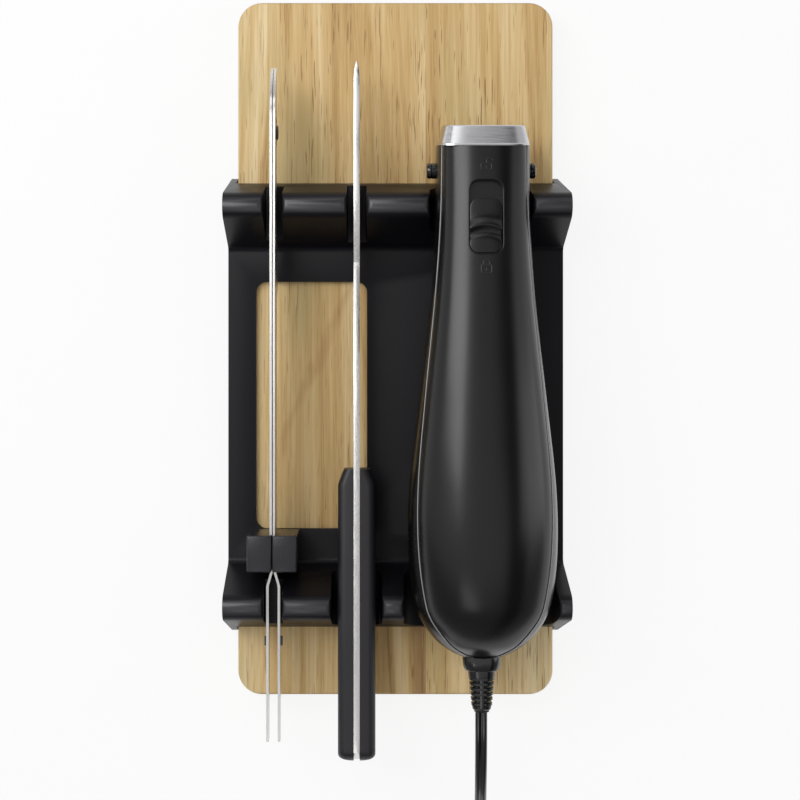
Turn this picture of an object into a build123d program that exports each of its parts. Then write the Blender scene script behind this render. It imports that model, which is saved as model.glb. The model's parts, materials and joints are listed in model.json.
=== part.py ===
from build123d import *
import math
import os

os.makedirs("parts", exist_ok=True)

# Every length is in millimetres. Shares are parts of the size that they are multiplied by.
# Pieces are drawn about the tray's centre, with +Y towards the blade tips and +Z up.

# Overruns and clearances
overrun = 2.0
part_gap = 0.3
shaft_gap = 0.05
slot_gap = 0.4

# Cutting board
board_width = 151.2
board_length = 332.6
board_thickness = 13.0
board_front_y = 193.4
board_corner_radius = 11.5
board_edge_radius = 2.5

# Storage tray
foot_height = 1.5
foot_radius = 5.0
foot_spread = 190.0
lip_width = 12.0
lip_thickness = 2.5
tray_wall = 3.5
board_side_gap = 0.9
board_top_gap = 0.5
floor_thickness = 3.0
ridge_height = 32.0
ridge_spacing = 184.2
ridge_nose_radius = 6.5
ridge_outer_lean = 14.9
ridge_inner_lean = 21.6
ridge_shell = 2.4
tray_corner_radius = 2.0
window_width = 53.0
window_length = 118.0
window_centre_x = -40.2
window_corner_radius = 5.0
notch_flare = 3.0
slot_radius = 0.5
butt_slot_radius = 3.0
slot_side_gap = 3.2
tang_side_gap = 1.0
cradle_radius = 12.0
cradle_front_gap = 2.2
cradle_rear_gap = 4.2

# Where each stored piece stands in the tray
blades_x = -57.2
fork_x = -18.6
knife_x = 38.35

# Blade pair
blade_thickness = 1.15
blade_height = 21.0
blade_axis_z = 40.0
blade_tip_y = 157.4
blade_tip_length = 26.0
blade_root_y = -60.0
scallop_pitch = 9.0
scallop_depth = 1.1
scallop_count = 21
tip_upper_shares = (0.6, 0.16)
tip_lower_shares = (0.62, 0.12)
tip_drop_share = 0.1
tang_height = 8.0
tang_spacing = 5.3
tang_end_y = -155.5
tang_jog_length = 9.0
tang_nub_y = -107.0
tang_nub_length = 4.0
tang_nub_height = 2.6
tang_nub_thickness = 1.0
guard_front_y = -58.7
guard_length = 16.7
guard_width = 22.7
guard_height = 30.0
guard_corner_radius = 1.6
stud_y = 127.0
stud_radius = 2.2
stud_head_radius = 3.4
stud_head_height = 0.9
blade_stroke = 4.0

# Carving fork
fork_thickness = 2.8
fork_tip_y = 158.4
fork_butt_y = -164.0
fork_handle_length = 135.0
fork_handle_height = 23.0
fork_handle_width = 17.0
fork_neck_width = 9.6
fork_neck_height = 15.0
fork_axis_z = 40.0
fork_shank_height = 11.0
fork_tine_length = 96.0
fork_tine_root = 5.4
fork_tine_tip = 1.4
fork_spread = 10.0
fork_rivet_radius = 2.4
fork_rivet_pitch = 40.0
fork_swell_share = 0.3
fork_upper_share = 0.9
fork_lower_share = 0.86
fork_taper_shares = (0.06, 0.62)
fork_shoulder_share = 0.11
fork_butt_share = 0.2
fork_butt_arc_shares = (0.86, 0.22)
fork_bend_share = 0.3

# Knife housing
shell_front_y = 118.8
shell_rear_y = -113.5
shell_axis_z = 53.8
bulb_half_width = 33.4
bulb_half_height = 31.0
shell_wall = 2.4
reveal_depth = 0.7
reveal_width = 0.5
front_squareness = 3.1
rear_squareness = 2.3
section_points = 12

# Place along the body from its rear end, then half width, half height and drop of the
# centre line, as shares of the body's length and of the bulb's half width and height
body_station_shares = [
    (0.000, 0.300, 0.300, 0.090),
    (0.010, 0.430, 0.440, 0.072),
    (0.031, 0.620, 0.640, 0.045),
    (0.069, 0.820, 0.830, 0.018),
    (0.108, 0.930, 0.935, 0.006),
    (0.148, 0.984, 0.985, 0.000),
    (0.207, 1.003, 1.000, 0.000),
    (0.305, 0.994, 0.985, 0.000),
    (0.403, 0.937, 0.940, 0.000),
    (0.502, 0.856, 0.875, 0.000),
    (0.600, 0.765, 0.815, 0.000),
    (0.698, 0.700, 0.768, 0.000),
    (0.800, 0.650, 0.728, 0.000),
    (0.900, 0.617, 0.704, 0.000),
    (1.000, 0.629, 0.700, 0.000),
]
# Parting line seen from the side, as shares of the body's length and the bulb's half height
parting_shares = [
    (-0.010, 0.150),
    (0.026, 0.410),
    (0.069, 0.548),
    (0.207, 0.587),
    (0.502, 0.460),
    (0.698, 0.394),
    (1.010, 0.435),
]

# Front collar
collar_length = 9.2
collar_wall = 1.4
collar_rear_share = 0.955
collar_front_share = 0.862
collar_squareness = 3.6

# Lock switch
lock_y = 84.2
lock_width = 15.1
lock_length = 33.0
lock_radius = 4.6
lock_travel = 7.9
lock_depth = 4.6
lock_floor = 1.6
lock_gap = 0.4
lock_ledge_height = 1.5
lock_ledge_length = 3.4
lock_ledge_radius = 15.7
lock_stem_width = 4.0
lock_stem_length = 8.0
lock_bar_thickness = 1.6
lock_bar_length = 20.0

# Blade release buttons
button_y = 107.9
button_z = 49.5
button_radius = 3.6
button_reach = 25.0
button_flange_radius = 5.0
button_flange_thickness = 1.4
button_inner_reach = 12.6
button_spring_radius = 2.7
button_spring_wire = 0.7
button_spring_turns = 3

# Trigger
trigger_front_y = 70.0
trigger_length = 42.0
trigger_width = 15.0
trigger_drop = 4.6
trigger_pin_radius = 1.5
trigger_curve_shares = [(0.3, 0.35), (0.68, 0.62)]
trigger_nose_shares = (0.14, 0.85)
trigger_pin_rise_share = 1.2
trigger_spring_share = 0.62
trigger_spring_radius = 3.0
trigger_spring_wire = 0.7
trigger_spring_turns = 3
switch_length = 20.0
switch_width = 22.0
switch_height = 6.4
switch_z = 36.6
switch_setback = 4.0
plunger_radius = 1.5
plunger_height = 1.0
terminal_length = 4.0
terminal_thickness = 1.0

# Motor
motor_z = 60.0
motor_front_y = -24.0
motor_radius = 19.0
motor_length = 56.0
motor_wall = 1.5
magnet_thickness = 3.0
magnet_arc = 130.0
core_radius = 13.4
core_length = 28.0
core_slots = 7
shaft_radius = 1.5
shaft_front_y = 24.0
bush_radius = 3.6
bush_length = 3.4
commutator_radius = 4.6
commutator_length = 8.0
winding_radius = 12.0
winding_length = 5.0
fan_radius = 15.5
fan_length = 4.2
fan_blades = 8
fan_blade_thickness = 0.8
end_cap_thickness = 3.6
core_slot_width = 1.9
core_slot_floor_share = 0.5
commutator_cut = 0.3
commutator_cut_share = 0.8
can_hole_radius = 3.2
can_hole_share = 0.62
brush_reach_share = 0.72
magnet_end_share = 0.34
rectifier_radius_share = 0.78
diode_place_share = 0.38
saddle_width_share = 0.8
saddle_place_shares = (0.25, 0.8)
board_disc_thickness = 1.4
diode_radius = 1.8
diode_length = 5.2
brush_width = 3.0

# Worm gear and blade drive
gear_module = 1.0
gear_teeth = 22
gear_y = 8.0
gear_width = 7.0
worm_tooth_share = 0.23
gear_foot_share = 0.31
gear_point_share = 0.12
thread_sink = 0.2
worm_pitch_radius = 3.6
worm_turns = 5
crank_pin_radius = 1.6
crank_pin_length = 4.4
axle_radius = 1.8
axle_length = 21.8
yoke_thickness = 2.8
yoke_frame = 2.8
yoke_inner_x = 4.7
bar_thickness = 4.4
bar_height = 11.0
bar_axis_z = 49.5
bar_front_y = 121.0
bar_gap = 0.5
frame_wall = 2.0
frame_inner_x = 8.6
frame_nose_rise = 6.5

# Front guide
guide_rear_y = 98.0
guide_front_y = 127.4
guide_wall = 2.6
guide_post_inset = 2.0
guide_post_length = 4.0

# Screws of the housing
screw_radius = 1.5
screw_head_radius = 2.8
screw_head_height = 2.0
screw_length = 14.0
boss_radius = 3.6
screw_depth_z = 42.0
screw_front_x = 15.6
screw_front_y = 42.0
screw_rear_x = 12.6
screw_rear_y = -97.0
boss_split_z = 56.0

# Vent slots under the motor
vent_count = 5
vent_width = 2.4
vent_length = 26.0
vent_pitch = 6.0

# Cord, strain relief and plug
cord_diameter = 5.6
cord_side_count = 8
cord_lift = 1.0
bend_run_share = 0.45
relief_collar_width = 17.8
relief_collar_height = 13.0
relief_collar_length = 6.8
relief_neck_width = 13.2
relief_neck_height = 10.6
relief_neck_length = 3.7
relief_tail_width = 9.8
relief_tail_height = 8.2
relief_tail_length = 13.7
relief_ring_length = 1.8
relief_rib_count = 5
relief_rib_depth = 1.1
relief_corner_share = 0.42
relief_collar_taper_share = 0.94
relief_flange_lip = 1.2
relief_z = 51.0
coil_pitch = 6.1
coil_layer_rise = 6.1
coil_half_turns = 5
coil_outer_radius = 38.0
coil_entry_run = 6.0
coil_exit_run = 20.0
plug_length = 30.0
plug_width = 22.0
plug_thickness = 14.0
plug_nose_length = 14.0
plug_nose_shares = (0.46, 0.7)
plug_grip_share = 0.84
plug_corner_share = 0.3
prong_length = 16.0
prong_width = 6.3
prong_thickness = 1.5
prong_spacing = 12.7
tie_width = 9.0
tie_thickness = 0.7

# Points of the cord's free stretch, from the strain relief down to the coil
cord_route = [
    (38.35, -139.5, 51.0),
    (38.35, -154.0, 51.0),
    (38.6, -171.5, 46.0),
    (39.4, -189.0, 33.5),
    (40.6, -206.0, 20.5),
    (41.5, -224.0, 12.6),
    (41.9, -243.5, 9.9),
    (41.9, -262.0, 9.9),
]

# Heights that follow from the stack of lips, board and floor
lip_top_z = foot_height + lip_thickness
board_bottom_z = lip_top_z + part_gap
board_top_z = board_bottom_z + board_thickness
floor_under_z = board_top_z + board_top_gap
floor_top_z = floor_under_z + floor_thickness
crown_z = floor_top_z + ridge_height
nose_z = crown_z - ridge_nose_radius
inner_half_width = board_width / 2 + board_side_gap
tray_half_width = inner_half_width + tray_wall
ridge_y = ridge_spacing / 2
centre_y = (board_front_y + fork_butt_y) / 2

# Lengths along the knife
shell_length = shell_front_y - shell_rear_y
motor_rear_y = motor_front_y - motor_length
gear_pitch_radius = gear_module * gear_teeth / 2
gear_z = motor_z - gear_pitch_radius - worm_pitch_radius
gear_outer_radius = gear_pitch_radius + gear_module
worm_pitch = math.pi * gear_module
screw_places = [
    (screw_front_x, screw_front_y), (-screw_front_x, screw_front_y),
    (screw_rear_x, screw_rear_y), (-screw_rear_x, screw_rear_y),
]


def save(shape, node):
    export_step(Pos(0, -centre_y, 0) * shape, "parts/" + node + ".step")


def block(x_range, y_range, z_range):
    """Box between two ends on each axis"""
    size = [high - low for low, high in (x_range, y_range, z_range)]
    middle = [(high + low) / 2 for low, high in (x_range, y_range, z_range)]
    return Pos(*middle) * Box(*size)


def rod_y(radius, y_from, y_to, x=0, z=0):
    return Pos(x, (y_from + y_to) / 2, z) * Rot(90, 0, 0) * Cylinder(radius, abs(y_to - y_from))


def rod_x(radius, x_from, x_to, y=0, z=0):
    return Pos((x_from + x_to) / 2, y, z) * Rot(0, 90, 0) * Cylinder(radius, abs(x_to - x_from))


def rod_z(radius, z_from, z_to, x=0, y=0):
    return Pos(x, y, (z_from + z_to) / 2) * Cylinder(radius, abs(z_to - z_from))


def side_plate(outline, x_from, x_to):
    """Outline given as (y, z) points, made solid from one X to another"""
    edge = Polyline([(0, y, z) for y, z in outline], close=True)
    return extrude(make_face(edge), amount=x_to - x_from, dir=(1, 0, 0)).moved(Location((x_from, 0, 0)))


# Storage tray

def flank(nose_radius, lean, side, base_z):
    """Point where a flank leaves the nose, and its foot at a height, for side 1 outward, -1 inward"""
    angle = math.radians(lean)
    top_y = side * nose_radius * math.cos(angle)
    top_z = nose_z + nose_radius * math.sin(angle)
    foot_y = top_y + side * (top_z - base_z) * math.tan(angle)
    return (ridge_y + top_y, top_z), (ridge_y + foot_y, base_z)


def ridge_face(nose_radius, base_z):
    """Section of a ridge, a rounded nose between two leaning flanks"""
    outer_top, outer_foot = flank(nose_radius, ridge_outer_lean, 1, base_z)
    inner_top, inner_foot = flank(nose_radius, ridge_inner_lean, -1, base_z)
    lines = [
        Line((0, *inner_foot), (0, *outer_foot)),
        Line((0, *outer_foot), (0, *outer_top)),
        ThreePointArc((0, *outer_top), (0, ridge_y, nose_z + nose_radius), (0, *inner_top)),
        Line((0, *inner_top), (0, *inner_foot)),
    ]
    return make_face(Wire(lines))


def across(face, half_width):
    return extrude(face, amount=half_width, dir=(1, 0, 0), both=True)


def notch_face(x_from, x_to, bottom_z, corner_radius):
    """Rounded slot open at the crown, with flared lips, in the XZ plane"""
    low = max(corner_radius, overrun / 2)
    flare_z = crown_z - notch_flare
    top_z = crown_z + overrun
    right = [
        ThreePointArc(
            (x_to - low, 0, bottom_z),
            (x_to - low * (1 - math.sqrt(1 / 2)), 0, bottom_z + low * (1 - math.sqrt(1 / 2))),
            (x_to, 0, bottom_z + low)),
        Line((x_to, 0, bottom_z + low), (x_to, 0, flare_z)),
        ThreePointArc(
            (x_to, 0, flare_z),
            (x_to + notch_flare * (1 - math.sqrt(3 / 4)), 0, flare_z + notch_flare / 2),
            (x_to + notch_flare, 0, crown_z)),
        Line((x_to + notch_flare, 0, crown_z), (x_to + notch_flare, 0, top_z)),
    ]
    left = [
        Line((x_from - notch_flare, 0, top_z), (x_from - notch_flare, 0, crown_z)),
        ThreePointArc(
            (x_from - notch_flare, 0, crown_z),
            (x_from - notch_flare * (1 - math.sqrt(3 / 4)), 0, flare_z + notch_flare / 2),
            (x_from, 0, flare_z)),
        Line((x_from, 0, flare_z), (x_from, 0, bottom_z + low)),
        ThreePointArc(
            (x_from, 0, bottom_z + low),
            (x_from + low * (1 - math.sqrt(1 / 2)), 0, bottom_z + low * (1 - math.sqrt(1 / 2))),
            (x_from + low, 0, bottom_z)),
    ]
    base = Line((x_from + low, 0, bottom_z), (x_to - low, 0, bottom_z))
    lid = Line((x_to + notch_flare, 0, top_z), (x_from - notch_flare, 0, top_z))
    return make_face(Wire([base] + right + [lid] + left))


def notch_cut(x_from, x_to, bottom_z, corner_radius, end, grow):
    """Notch through the ridge at one end, grown on every side for the shell behind it"""
    reach = ridge_height
    face = notch_face(x_from - grow, x_to + grow, bottom_z - grow, corner_radius + grow)
    return extrude(face, amount=reach, dir=(0, 1, 0), both=True).moved(Location((0, end * ridge_y, 0)))


def lowest_belly(end):
    """Lowest point of the knife over the ridge at one end"""
    inner_foot = flank(ridge_nose_radius, ridge_inner_lean, -1, floor_top_z)[1][0]
    outer_foot = flank(ridge_nose_radius, ridge_outer_lean, 1, floor_top_z)[1][0]
    return min(belly_z(end * inner_foot), belly_z(end * ridge_y), belly_z(end * outer_foot))


def tray_notches():
    """Each notch as left, right, bottom, corner radius and end, fitted to what stands in it"""
    blade_room = blade_thickness + slot_side_gap
    tang_room = tang_spacing / 2 + blade_thickness / 2 + tang_side_gap
    fork_room = fork_thickness / 2 + slot_side_gap
    butt_room = fork_handle_width / 2 + slot_side_gap
    front_room = section_size(ridge_y)[0] + cradle_front_gap
    rear_room = section_size(-ridge_y)[0] + cradle_rear_gap
    tine_low = fork_tine(-1).bounding_box().min.Z
    return [
        (blades_x - blade_room, blades_x + blade_room,
         blade_axis_z - blade_height / 2 - part_gap, slot_radius, 1),
        (fork_x - fork_room, fork_x + fork_room,
         tine_low - part_gap, slot_radius, 1),
        (knife_x - front_room, knife_x + front_room,
         lowest_belly(1) - part_gap, cradle_radius, 1),
        (blades_x - tang_room, blades_x + tang_room,
         blade_axis_z - tang_height / 2 - part_gap, slot_radius, -1),
        (fork_x - butt_room, fork_x + butt_room,
         fork_handle_outline().bounding_box().min.Z - part_gap, butt_slot_radius, -1),
        (knife_x - rear_room, knife_x + rear_room, lowest_belly(-1) - part_gap, cradle_radius, -1),
    ]


def end_of(shape, end):
    return shape if end > 0 else mirror(shape, about=Plane.XZ)


def ridge_shells(notches):
    """Hollow under both ridges, standing clear of the notches by the shell's thickness"""
    hollows = []
    for end in (1, -1):
        face = ridge_face(ridge_nose_radius - ridge_shell, floor_under_z - overrun)
        hollow = end_of(across(face, tray_half_width - tray_wall), end)
        for x_from, x_to, bottom_z, corner_radius, notch_end in notches:
            if notch_end == end:
                hollow -= notch_cut(x_from, x_to, bottom_z, corner_radius, end, ridge_shell)
        hollows.append(hollow)
    return hollows


def ridge_spans(notches):
    """Boxes round what stands above the floor on each side of every notch"""
    spans = []
    for end in (1, -1):
        y_range = (min(0, end * 2 * ridge_y), max(0, end * 2 * ridge_y))
        places = [-tray_half_width - overrun]
        for x_from, x_to, bottom_z, corner_radius, notch_end in notches:
            if notch_end == end:
                places += [x_from + slot_radius, x_to - slot_radius]
        places.append(tray_half_width + overrun)
        for x_range in zip(places[::2], places[1::2]):
            spans.append(block(x_range, y_range, (floor_top_z, crown_z + overrun)))
    return spans


def tray_moulding():
    """Moulded tray: a floor over the board, two hollow ridges, skirts and lips that hold the board"""
    outer_foot = flank(ridge_nose_radius, ridge_outer_lean, 1, foot_height)[1][0]
    outer_floor = flank(ridge_nose_radius, ridge_outer_lean, 1, floor_top_z)[1][0]
    slab = side_plate(
        [(-outer_foot, foot_height), (outer_foot, foot_height),
         (outer_floor, floor_top_z), (-outer_floor, floor_top_z)],
        -tray_half_width, tray_half_width)
    body = slab
    for end in (1, -1):
        body += end_of(across(ridge_face(ridge_nose_radius, floor_under_z), tray_half_width), end)
    corners = body.edges().filter_by(GeomType.LINE).filter_by(
        lambda edge: abs(abs(edge.center().X) - tray_half_width) < part_gap
        and abs(edge.center().Y) > ridge_y and edge.center().Z > foot_height + part_gap)
    body = fillet(corners, tray_corner_radius)
    tunnel_y = (-outer_foot - overrun, outer_foot + overrun)
    body -= block((-inner_half_width, inner_half_width), tunnel_y, (lip_top_z, floor_under_z))
    throat = inner_half_width - lip_width
    body -= block((-throat, throat), tunnel_y, (foot_height - overrun, lip_top_z + overrun))
    notches = tray_notches()
    for x_from, x_to, bottom_z, corner_radius, end in notches:
        body -= notch_cut(x_from, x_to, bottom_z, corner_radius, end, 0)
    for hollow in ridge_shells(notches):
        body -= hollow
    window = Rectangle(window_width, window_length)
    window = fillet(window.vertices(), window_corner_radius)
    body -= Pos(window_centre_x, 0, floor_under_z - overrun) * extrude(
        window, amount=floor_thickness + 2 * overrun)
    return body


def tray_and_ridges():
    """The moulding in two nodes, so that its collision stays open at the narrow notches"""
    base = tray_moulding()
    ridges = []
    for span in ridge_spans(tray_notches()):
        ridges += (base & span).solids()
        base -= span
    return base, Compound(ridges)


def tray_feet():
    x = inner_half_width - lip_width / 2 + tray_wall / 2
    y = foot_spread / 2
    return Compound([rod_z(foot_radius, 0, foot_height, sx * x, sy * y) for sx in (1, -1) for sy in (1, -1)])


# Cutting board

def cutting_board():
    outline = RectangleRounded(board_width, board_length, board_corner_radius)
    board = extrude(outline, amount=board_thickness)
    rims = board.edges().group_by(Axis.Z)[0] + board.edges().group_by(Axis.Z)[-1]
    board = fillet(rims, board_edge_radius)
    return Pos(0, board_front_y - board_length / 2, board_bottom_z) * board


# Blade pair, where side is -1 for the left blade and 1 for the right

def blade_outline():
    """Side view of one blade with its tang, as a face in the YZ plane"""
    top_z = blade_axis_z + blade_height / 2
    low_z = blade_axis_z - blade_height / 2
    tang_top = blade_axis_z + tang_height / 2
    tang_low = blade_axis_z - tang_height / 2
    nose_y = blade_tip_y - blade_tip_length
    point_z = blade_axis_z - tip_drop_share * blade_height
    guard_rear_y = guard_front_y - guard_length
    edge_y = nose_y - scallop_pitch * scallop_count
    lines = [
        Line((0, guard_rear_y, top_z - tang_height / 2), (0, blade_root_y, top_z)),
        Line((0, blade_root_y, top_z), (0, nose_y, top_z)),
        ThreePointArc(
            (0, nose_y, top_z),
            (0, nose_y + tip_upper_shares[0] * blade_tip_length, top_z - tip_upper_shares[1] * blade_height),
            (0, blade_tip_y, point_z)),
        ThreePointArc(
            (0, blade_tip_y, point_z),
            (0, nose_y + tip_lower_shares[0] * blade_tip_length, low_z + tip_lower_shares[1] * blade_height),
            (0, nose_y, low_z)),
    ]
    for index in range(scallop_count):
        start = nose_y - index * scallop_pitch
        lines.append(ThreePointArc(
            (0, start, low_z),
            (0, start - scallop_pitch / 2, low_z + scallop_depth),
            (0, start - scallop_pitch, low_z)))
    lines += [
        Line((0, edge_y, low_z), (0, blade_root_y, low_z)),
        Line((0, blade_root_y, low_z), (0, guard_rear_y, low_z + tang_height / 2)),
        Line((0, guard_rear_y, low_z + tang_height / 2), (0, guard_rear_y, tang_low)),
        Line((0, guard_rear_y, tang_low), (0, tang_end_y, tang_low)),
        Line((0, tang_end_y, tang_low), (0, tang_end_y, tang_top)),
        Line((0, tang_end_y, tang_top), (0, guard_rear_y, tang_top)),
        Line((0, guard_rear_y, tang_top), (0, guard_rear_y, top_z - tang_height / 2)),
    ]
    return make_face(Wire(lines))


def blade_strip(side):
    """Plan view of one blade, thin and jogged outward behind the guard"""
    inner = side * part_gap / 2
    outer = inner + side * blade_thickness
    jog_y = guard_front_y - guard_length
    tang_in = side * (tang_spacing - blade_thickness) / 2
    tang_out = tang_in + side * blade_thickness
    points = [
        (inner, blade_tip_y + overrun), (inner, jog_y), (tang_in, jog_y - tang_jog_length),
        (tang_in, tang_end_y - overrun), (tang_out, tang_end_y - overrun),
        (tang_out, jog_y - tang_jog_length), (outer, jog_y), (outer, blade_tip_y + overrun),
    ]
    face = make_face(Polyline([(x, y, 0) for x, y in points], close=True))
    return extrude(face, amount=blade_axis_z + blade_height)


def knife_blade(side):
    blade = blade_strip(side) & across(blade_outline(), tang_spacing)
    inner = side * part_gap / 2
    if side < 0:
        blade += rod_x(stud_radius, inner - blade_thickness / 2, -inner + blade_thickness + part_gap,
                       stud_y, blade_axis_z)
        blade += rod_x(stud_head_radius, -inner + blade_thickness + part_gap,
                       -inner + blade_thickness + part_gap + stud_head_height, stud_y, blade_axis_z)
    else:
        slot = SlotCenterToCenter(2 * blade_stroke, 2 * (stud_radius + slot_gap))
        blade -= Pos(0, stud_y, blade_axis_z) * Rot(0, 90, 0) * Rot(0, 0, 90) * extrude(
            slot, amount=blade_thickness + overrun, both=True)
    return Pos(blades_x, 0, 0) * blade


def tang_nub(side):
    """Small block on the outside of one tang, a node of its own so that its collision stays small"""
    tang_out = side * (tang_spacing + blade_thickness) / 2
    nub = (tang_out, tang_out + side * tang_nub_thickness)
    small_block = block((min(nub), max(nub)), (tang_nub_y - tang_nub_length, tang_nub_y),
                        (blade_axis_z - tang_nub_height / 2, blade_axis_z + tang_nub_height / 2))
    return Pos(blades_x, 0, 0) * small_block


def blade_guard(side):
    """Moulded half of the hand guard, holding the root of its own blade"""
    inner = side * part_gap / 2
    outer = side * guard_width / 2
    half = block((min(inner, outer), max(inner, outer)),
                 (guard_front_y - guard_length, guard_front_y),
                 (blade_axis_z - guard_height / 2, blade_axis_z + guard_height / 2))
    rims = half.edges().filter_by(lambda edge: abs(edge.center().X - inner) > part_gap)
    half = fillet(rims, guard_corner_radius)
    half = Pos(blades_x, 0, 0) * half
    return half - knife_blade(side)


# Carving fork

def fork_handle_outline():
    """Side view of the handle, slimmer at the neck, with a rounded butt"""
    front_y = fork_butt_y + fork_handle_length
    neck = fork_neck_height / 2
    deep = fork_handle_height / 2
    swell_y = front_y - fork_swell_share * fork_handle_length
    butt_y = fork_butt_y + deep / 2
    z = fork_axis_z
    upper = Spline([(0, front_y, z + neck), (0, swell_y, z + fork_upper_share * deep), (0, butt_y, z + deep)])
    lower = Spline([(0, front_y, z - neck), (0, swell_y, z - fork_lower_share * deep), (0, butt_y, z - deep)])
    butt = ThreePointArc((0, butt_y, z + deep), (0, fork_butt_y, z), (0, butt_y, z - deep))
    nose = Line((0, front_y, z - neck), (0, front_y, z + neck))
    return make_face(Wire([nose, upper, butt, lower]))


def fork_scale(side):
    """One handle scale, tapered in plan at its front, riveted to the tang"""
    inner = side * fork_thickness / 2
    neck = side * fork_neck_width / 2
    outer = side * fork_handle_width / 2
    front_y = fork_butt_y + fork_handle_length
    taper_y = front_y - fork_taper_shares[0] * fork_handle_length
    taper_x = neck + fork_taper_shares[1] * (outer - neck)
    shoulder_y = front_y - fork_shoulder_share * fork_handle_length
    rear_y = fork_butt_y + fork_butt_share * fork_handle_height
    butt_x = inner + fork_butt_arc_shares[0] * (outer - inner)
    butt_y = fork_butt_y + fork_butt_arc_shares[1] * (rear_y - fork_butt_y)
    end_x = (inner + outer) / 2
    lines = [
        Line((inner, fork_butt_y, 0), (inner, front_y, 0)),
        Line((inner, front_y, 0), (neck, front_y, 0)),
        ThreePointArc((neck, front_y, 0), (taper_x, taper_y, 0), (outer, shoulder_y, 0)),
        Line((outer, shoulder_y, 0), (outer, rear_y, 0)),
        ThreePointArc((outer, rear_y, 0), (butt_x, butt_y, 0), (end_x, fork_butt_y, 0)),
        Line((end_x, fork_butt_y, 0), (inner, fork_butt_y, 0)),
    ]
    plan = extrude(make_face(Wire(lines)), amount=fork_axis_z + fork_handle_height)
    scale = plan & across(fork_handle_outline(), fork_handle_width)
    for y in fork_rivet_places():
        scale -= rod_x(fork_rivet_radius, -fork_handle_width, fork_handle_width, y, fork_axis_z)
    return Pos(fork_x, 0, 0) * scale


def fork_rivet_places():
    middle = fork_butt_y + fork_handle_length / 2
    return [middle + step * fork_rivet_pitch for step in (-1, 0, 1)]


def fork_rivets():
    reach = fork_handle_width / 2
    return Compound([
        Pos(fork_x, 0, 0) * rod_x(fork_rivet_radius, -reach, reach, y, fork_axis_z)
        for y in fork_rivet_places()])


def fork_tine(side):
    """One curved tine, as a face in the YZ plane, above the axis for side 1"""
    root_y = fork_tip_y - fork_tine_length
    z = fork_axis_z
    mid = side * (fork_spread - fork_tine_root / 2)
    half_root = side * fork_tine_root / 2
    half_tip = side * fork_tine_tip / 2
    shank = side * fork_shank_height / 2
    bend_y = root_y + fork_bend_share * fork_tine_length
    lines = [
        Line((0, root_y, z), (0, root_y, z + shank)),
        Spline([(0, root_y, z + shank), (0, bend_y, z + mid + half_root),
                (0, fork_tip_y, z + mid + half_tip)]),
        Line((0, fork_tip_y, z + mid + half_tip), (0, fork_tip_y, z + mid - half_tip)),
        Spline([(0, fork_tip_y, z + mid - half_tip), (0, bend_y, z + mid - half_root), (0, root_y, z)]),
    ]
    return make_face(Wire(lines))


def fork_steel():
    """Flat steel of the fork: two tines, the shank and the full tang between the scales"""
    root_y = fork_tip_y - fork_tine_length
    front_y = fork_butt_y + fork_handle_length
    half = fork_thickness / 2
    shank = side_plate(
        [(root_y, fork_axis_z - fork_shank_height / 2), (root_y, fork_axis_z + fork_shank_height / 2),
         (front_y - part_gap, fork_axis_z + fork_neck_height / 2),
         (front_y - part_gap, fork_axis_z - fork_neck_height / 2)],
        -half, half)
    steel = shank + across(fork_handle_outline(), half)
    for side in (1, -1):
        steel += across(fork_tine(side), half)
    for y in fork_rivet_places():
        steel -= rod_x(fork_rivet_radius, -fork_thickness, fork_thickness, y, fork_axis_z)
    return Pos(fork_x, 0, 0) * steel


# Knife housing, drawn about its own middle plane

def at_share(rows, share, column):
    """Value of a table's column at a share, between the rows on each side"""
    for low, high in zip(rows, rows[1:]):
        if share <= high[0]:
            break
    part = (share - low[0]) / (high[0] - low[0])
    return low[column] + part * (high[column] - low[column])


def section_size(y):
    """Half width, half height and height of the centre line at a place along the knife"""
    share = min(max((y - shell_rear_y) / shell_length, 0), 1)
    half_width = bulb_half_width * at_share(body_station_shares, share, 1)
    half_height = bulb_half_height * at_share(body_station_shares, share, 2)
    drop = bulb_half_height * at_share(body_station_shares, share, 3)
    return half_width, half_height, shell_axis_z - drop


def rounded_section(y, half_width, half_height, centre_z, squareness):
    """Closed section across the knife, between an ellipse and a rectangle"""
    points = []
    for index in range(section_points):
        angle = 2 * math.pi * index / section_points
        c = math.cos(angle)
        s = math.sin(angle)
        x = half_width * math.copysign(abs(c) ** (2 / squareness), c)
        z = half_height * math.copysign(abs(s) ** (2 / squareness), s)
        points.append((x, y, centre_z + z))
    return make_face(Spline(points, periodic=True))


def body_section(y, inset):
    half_width, half_height, centre_z = section_size(y)
    share = min(max((y - shell_rear_y) / shell_length, 0), 1)
    squareness = rear_squareness + (front_squareness - rear_squareness) * share
    return rounded_section(y, half_width - inset, half_height - inset, centre_z, squareness)


def body_form(inset, rear_from, front_reach):
    """Smooth body of the housing, drawn in by an inset, from one station to past the front"""
    places = [shell_rear_y + row[0] * shell_length for row in body_station_shares[rear_from:]]
    sections = [body_section(y, inset) for y in places]
    if front_reach:
        sections.append(body_section(shell_front_y, inset).moved(Location((0, front_reach, 0))))
    return loft(sections)


def above_parting(lift):
    """Everything above the parting line, raised by a lift"""
    line = [(0, shell_rear_y + share * shell_length, shell_axis_z + rise * bulb_half_height + lift)
            for share, rise in parting_shares]
    top_z = shell_axis_z + 2 * bulb_half_height
    edges = [
        Spline(line),
        Line(line[-1], (0, line[-1][1], top_z)),
        Line((0, line[-1][1], top_z), (0, line[0][1], top_z)),
        Line((0, line[0][1], top_z), line[0]),
    ]
    return across(make_face(Wire(edges)), 2 * bulb_half_width)


def belly_z(y):
    half_width, half_height, centre_z = section_size(y)
    return centre_z - half_height


def crown_of_shell(y):
    half_width, half_height, centre_z = section_size(y)
    return centre_z + half_height


def place_knife(shape):
    return Pos(knife_x, 0, 0) * shape


def both_sides(shape):
    return shape + mirror(shape, about=Plane.YZ)


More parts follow.
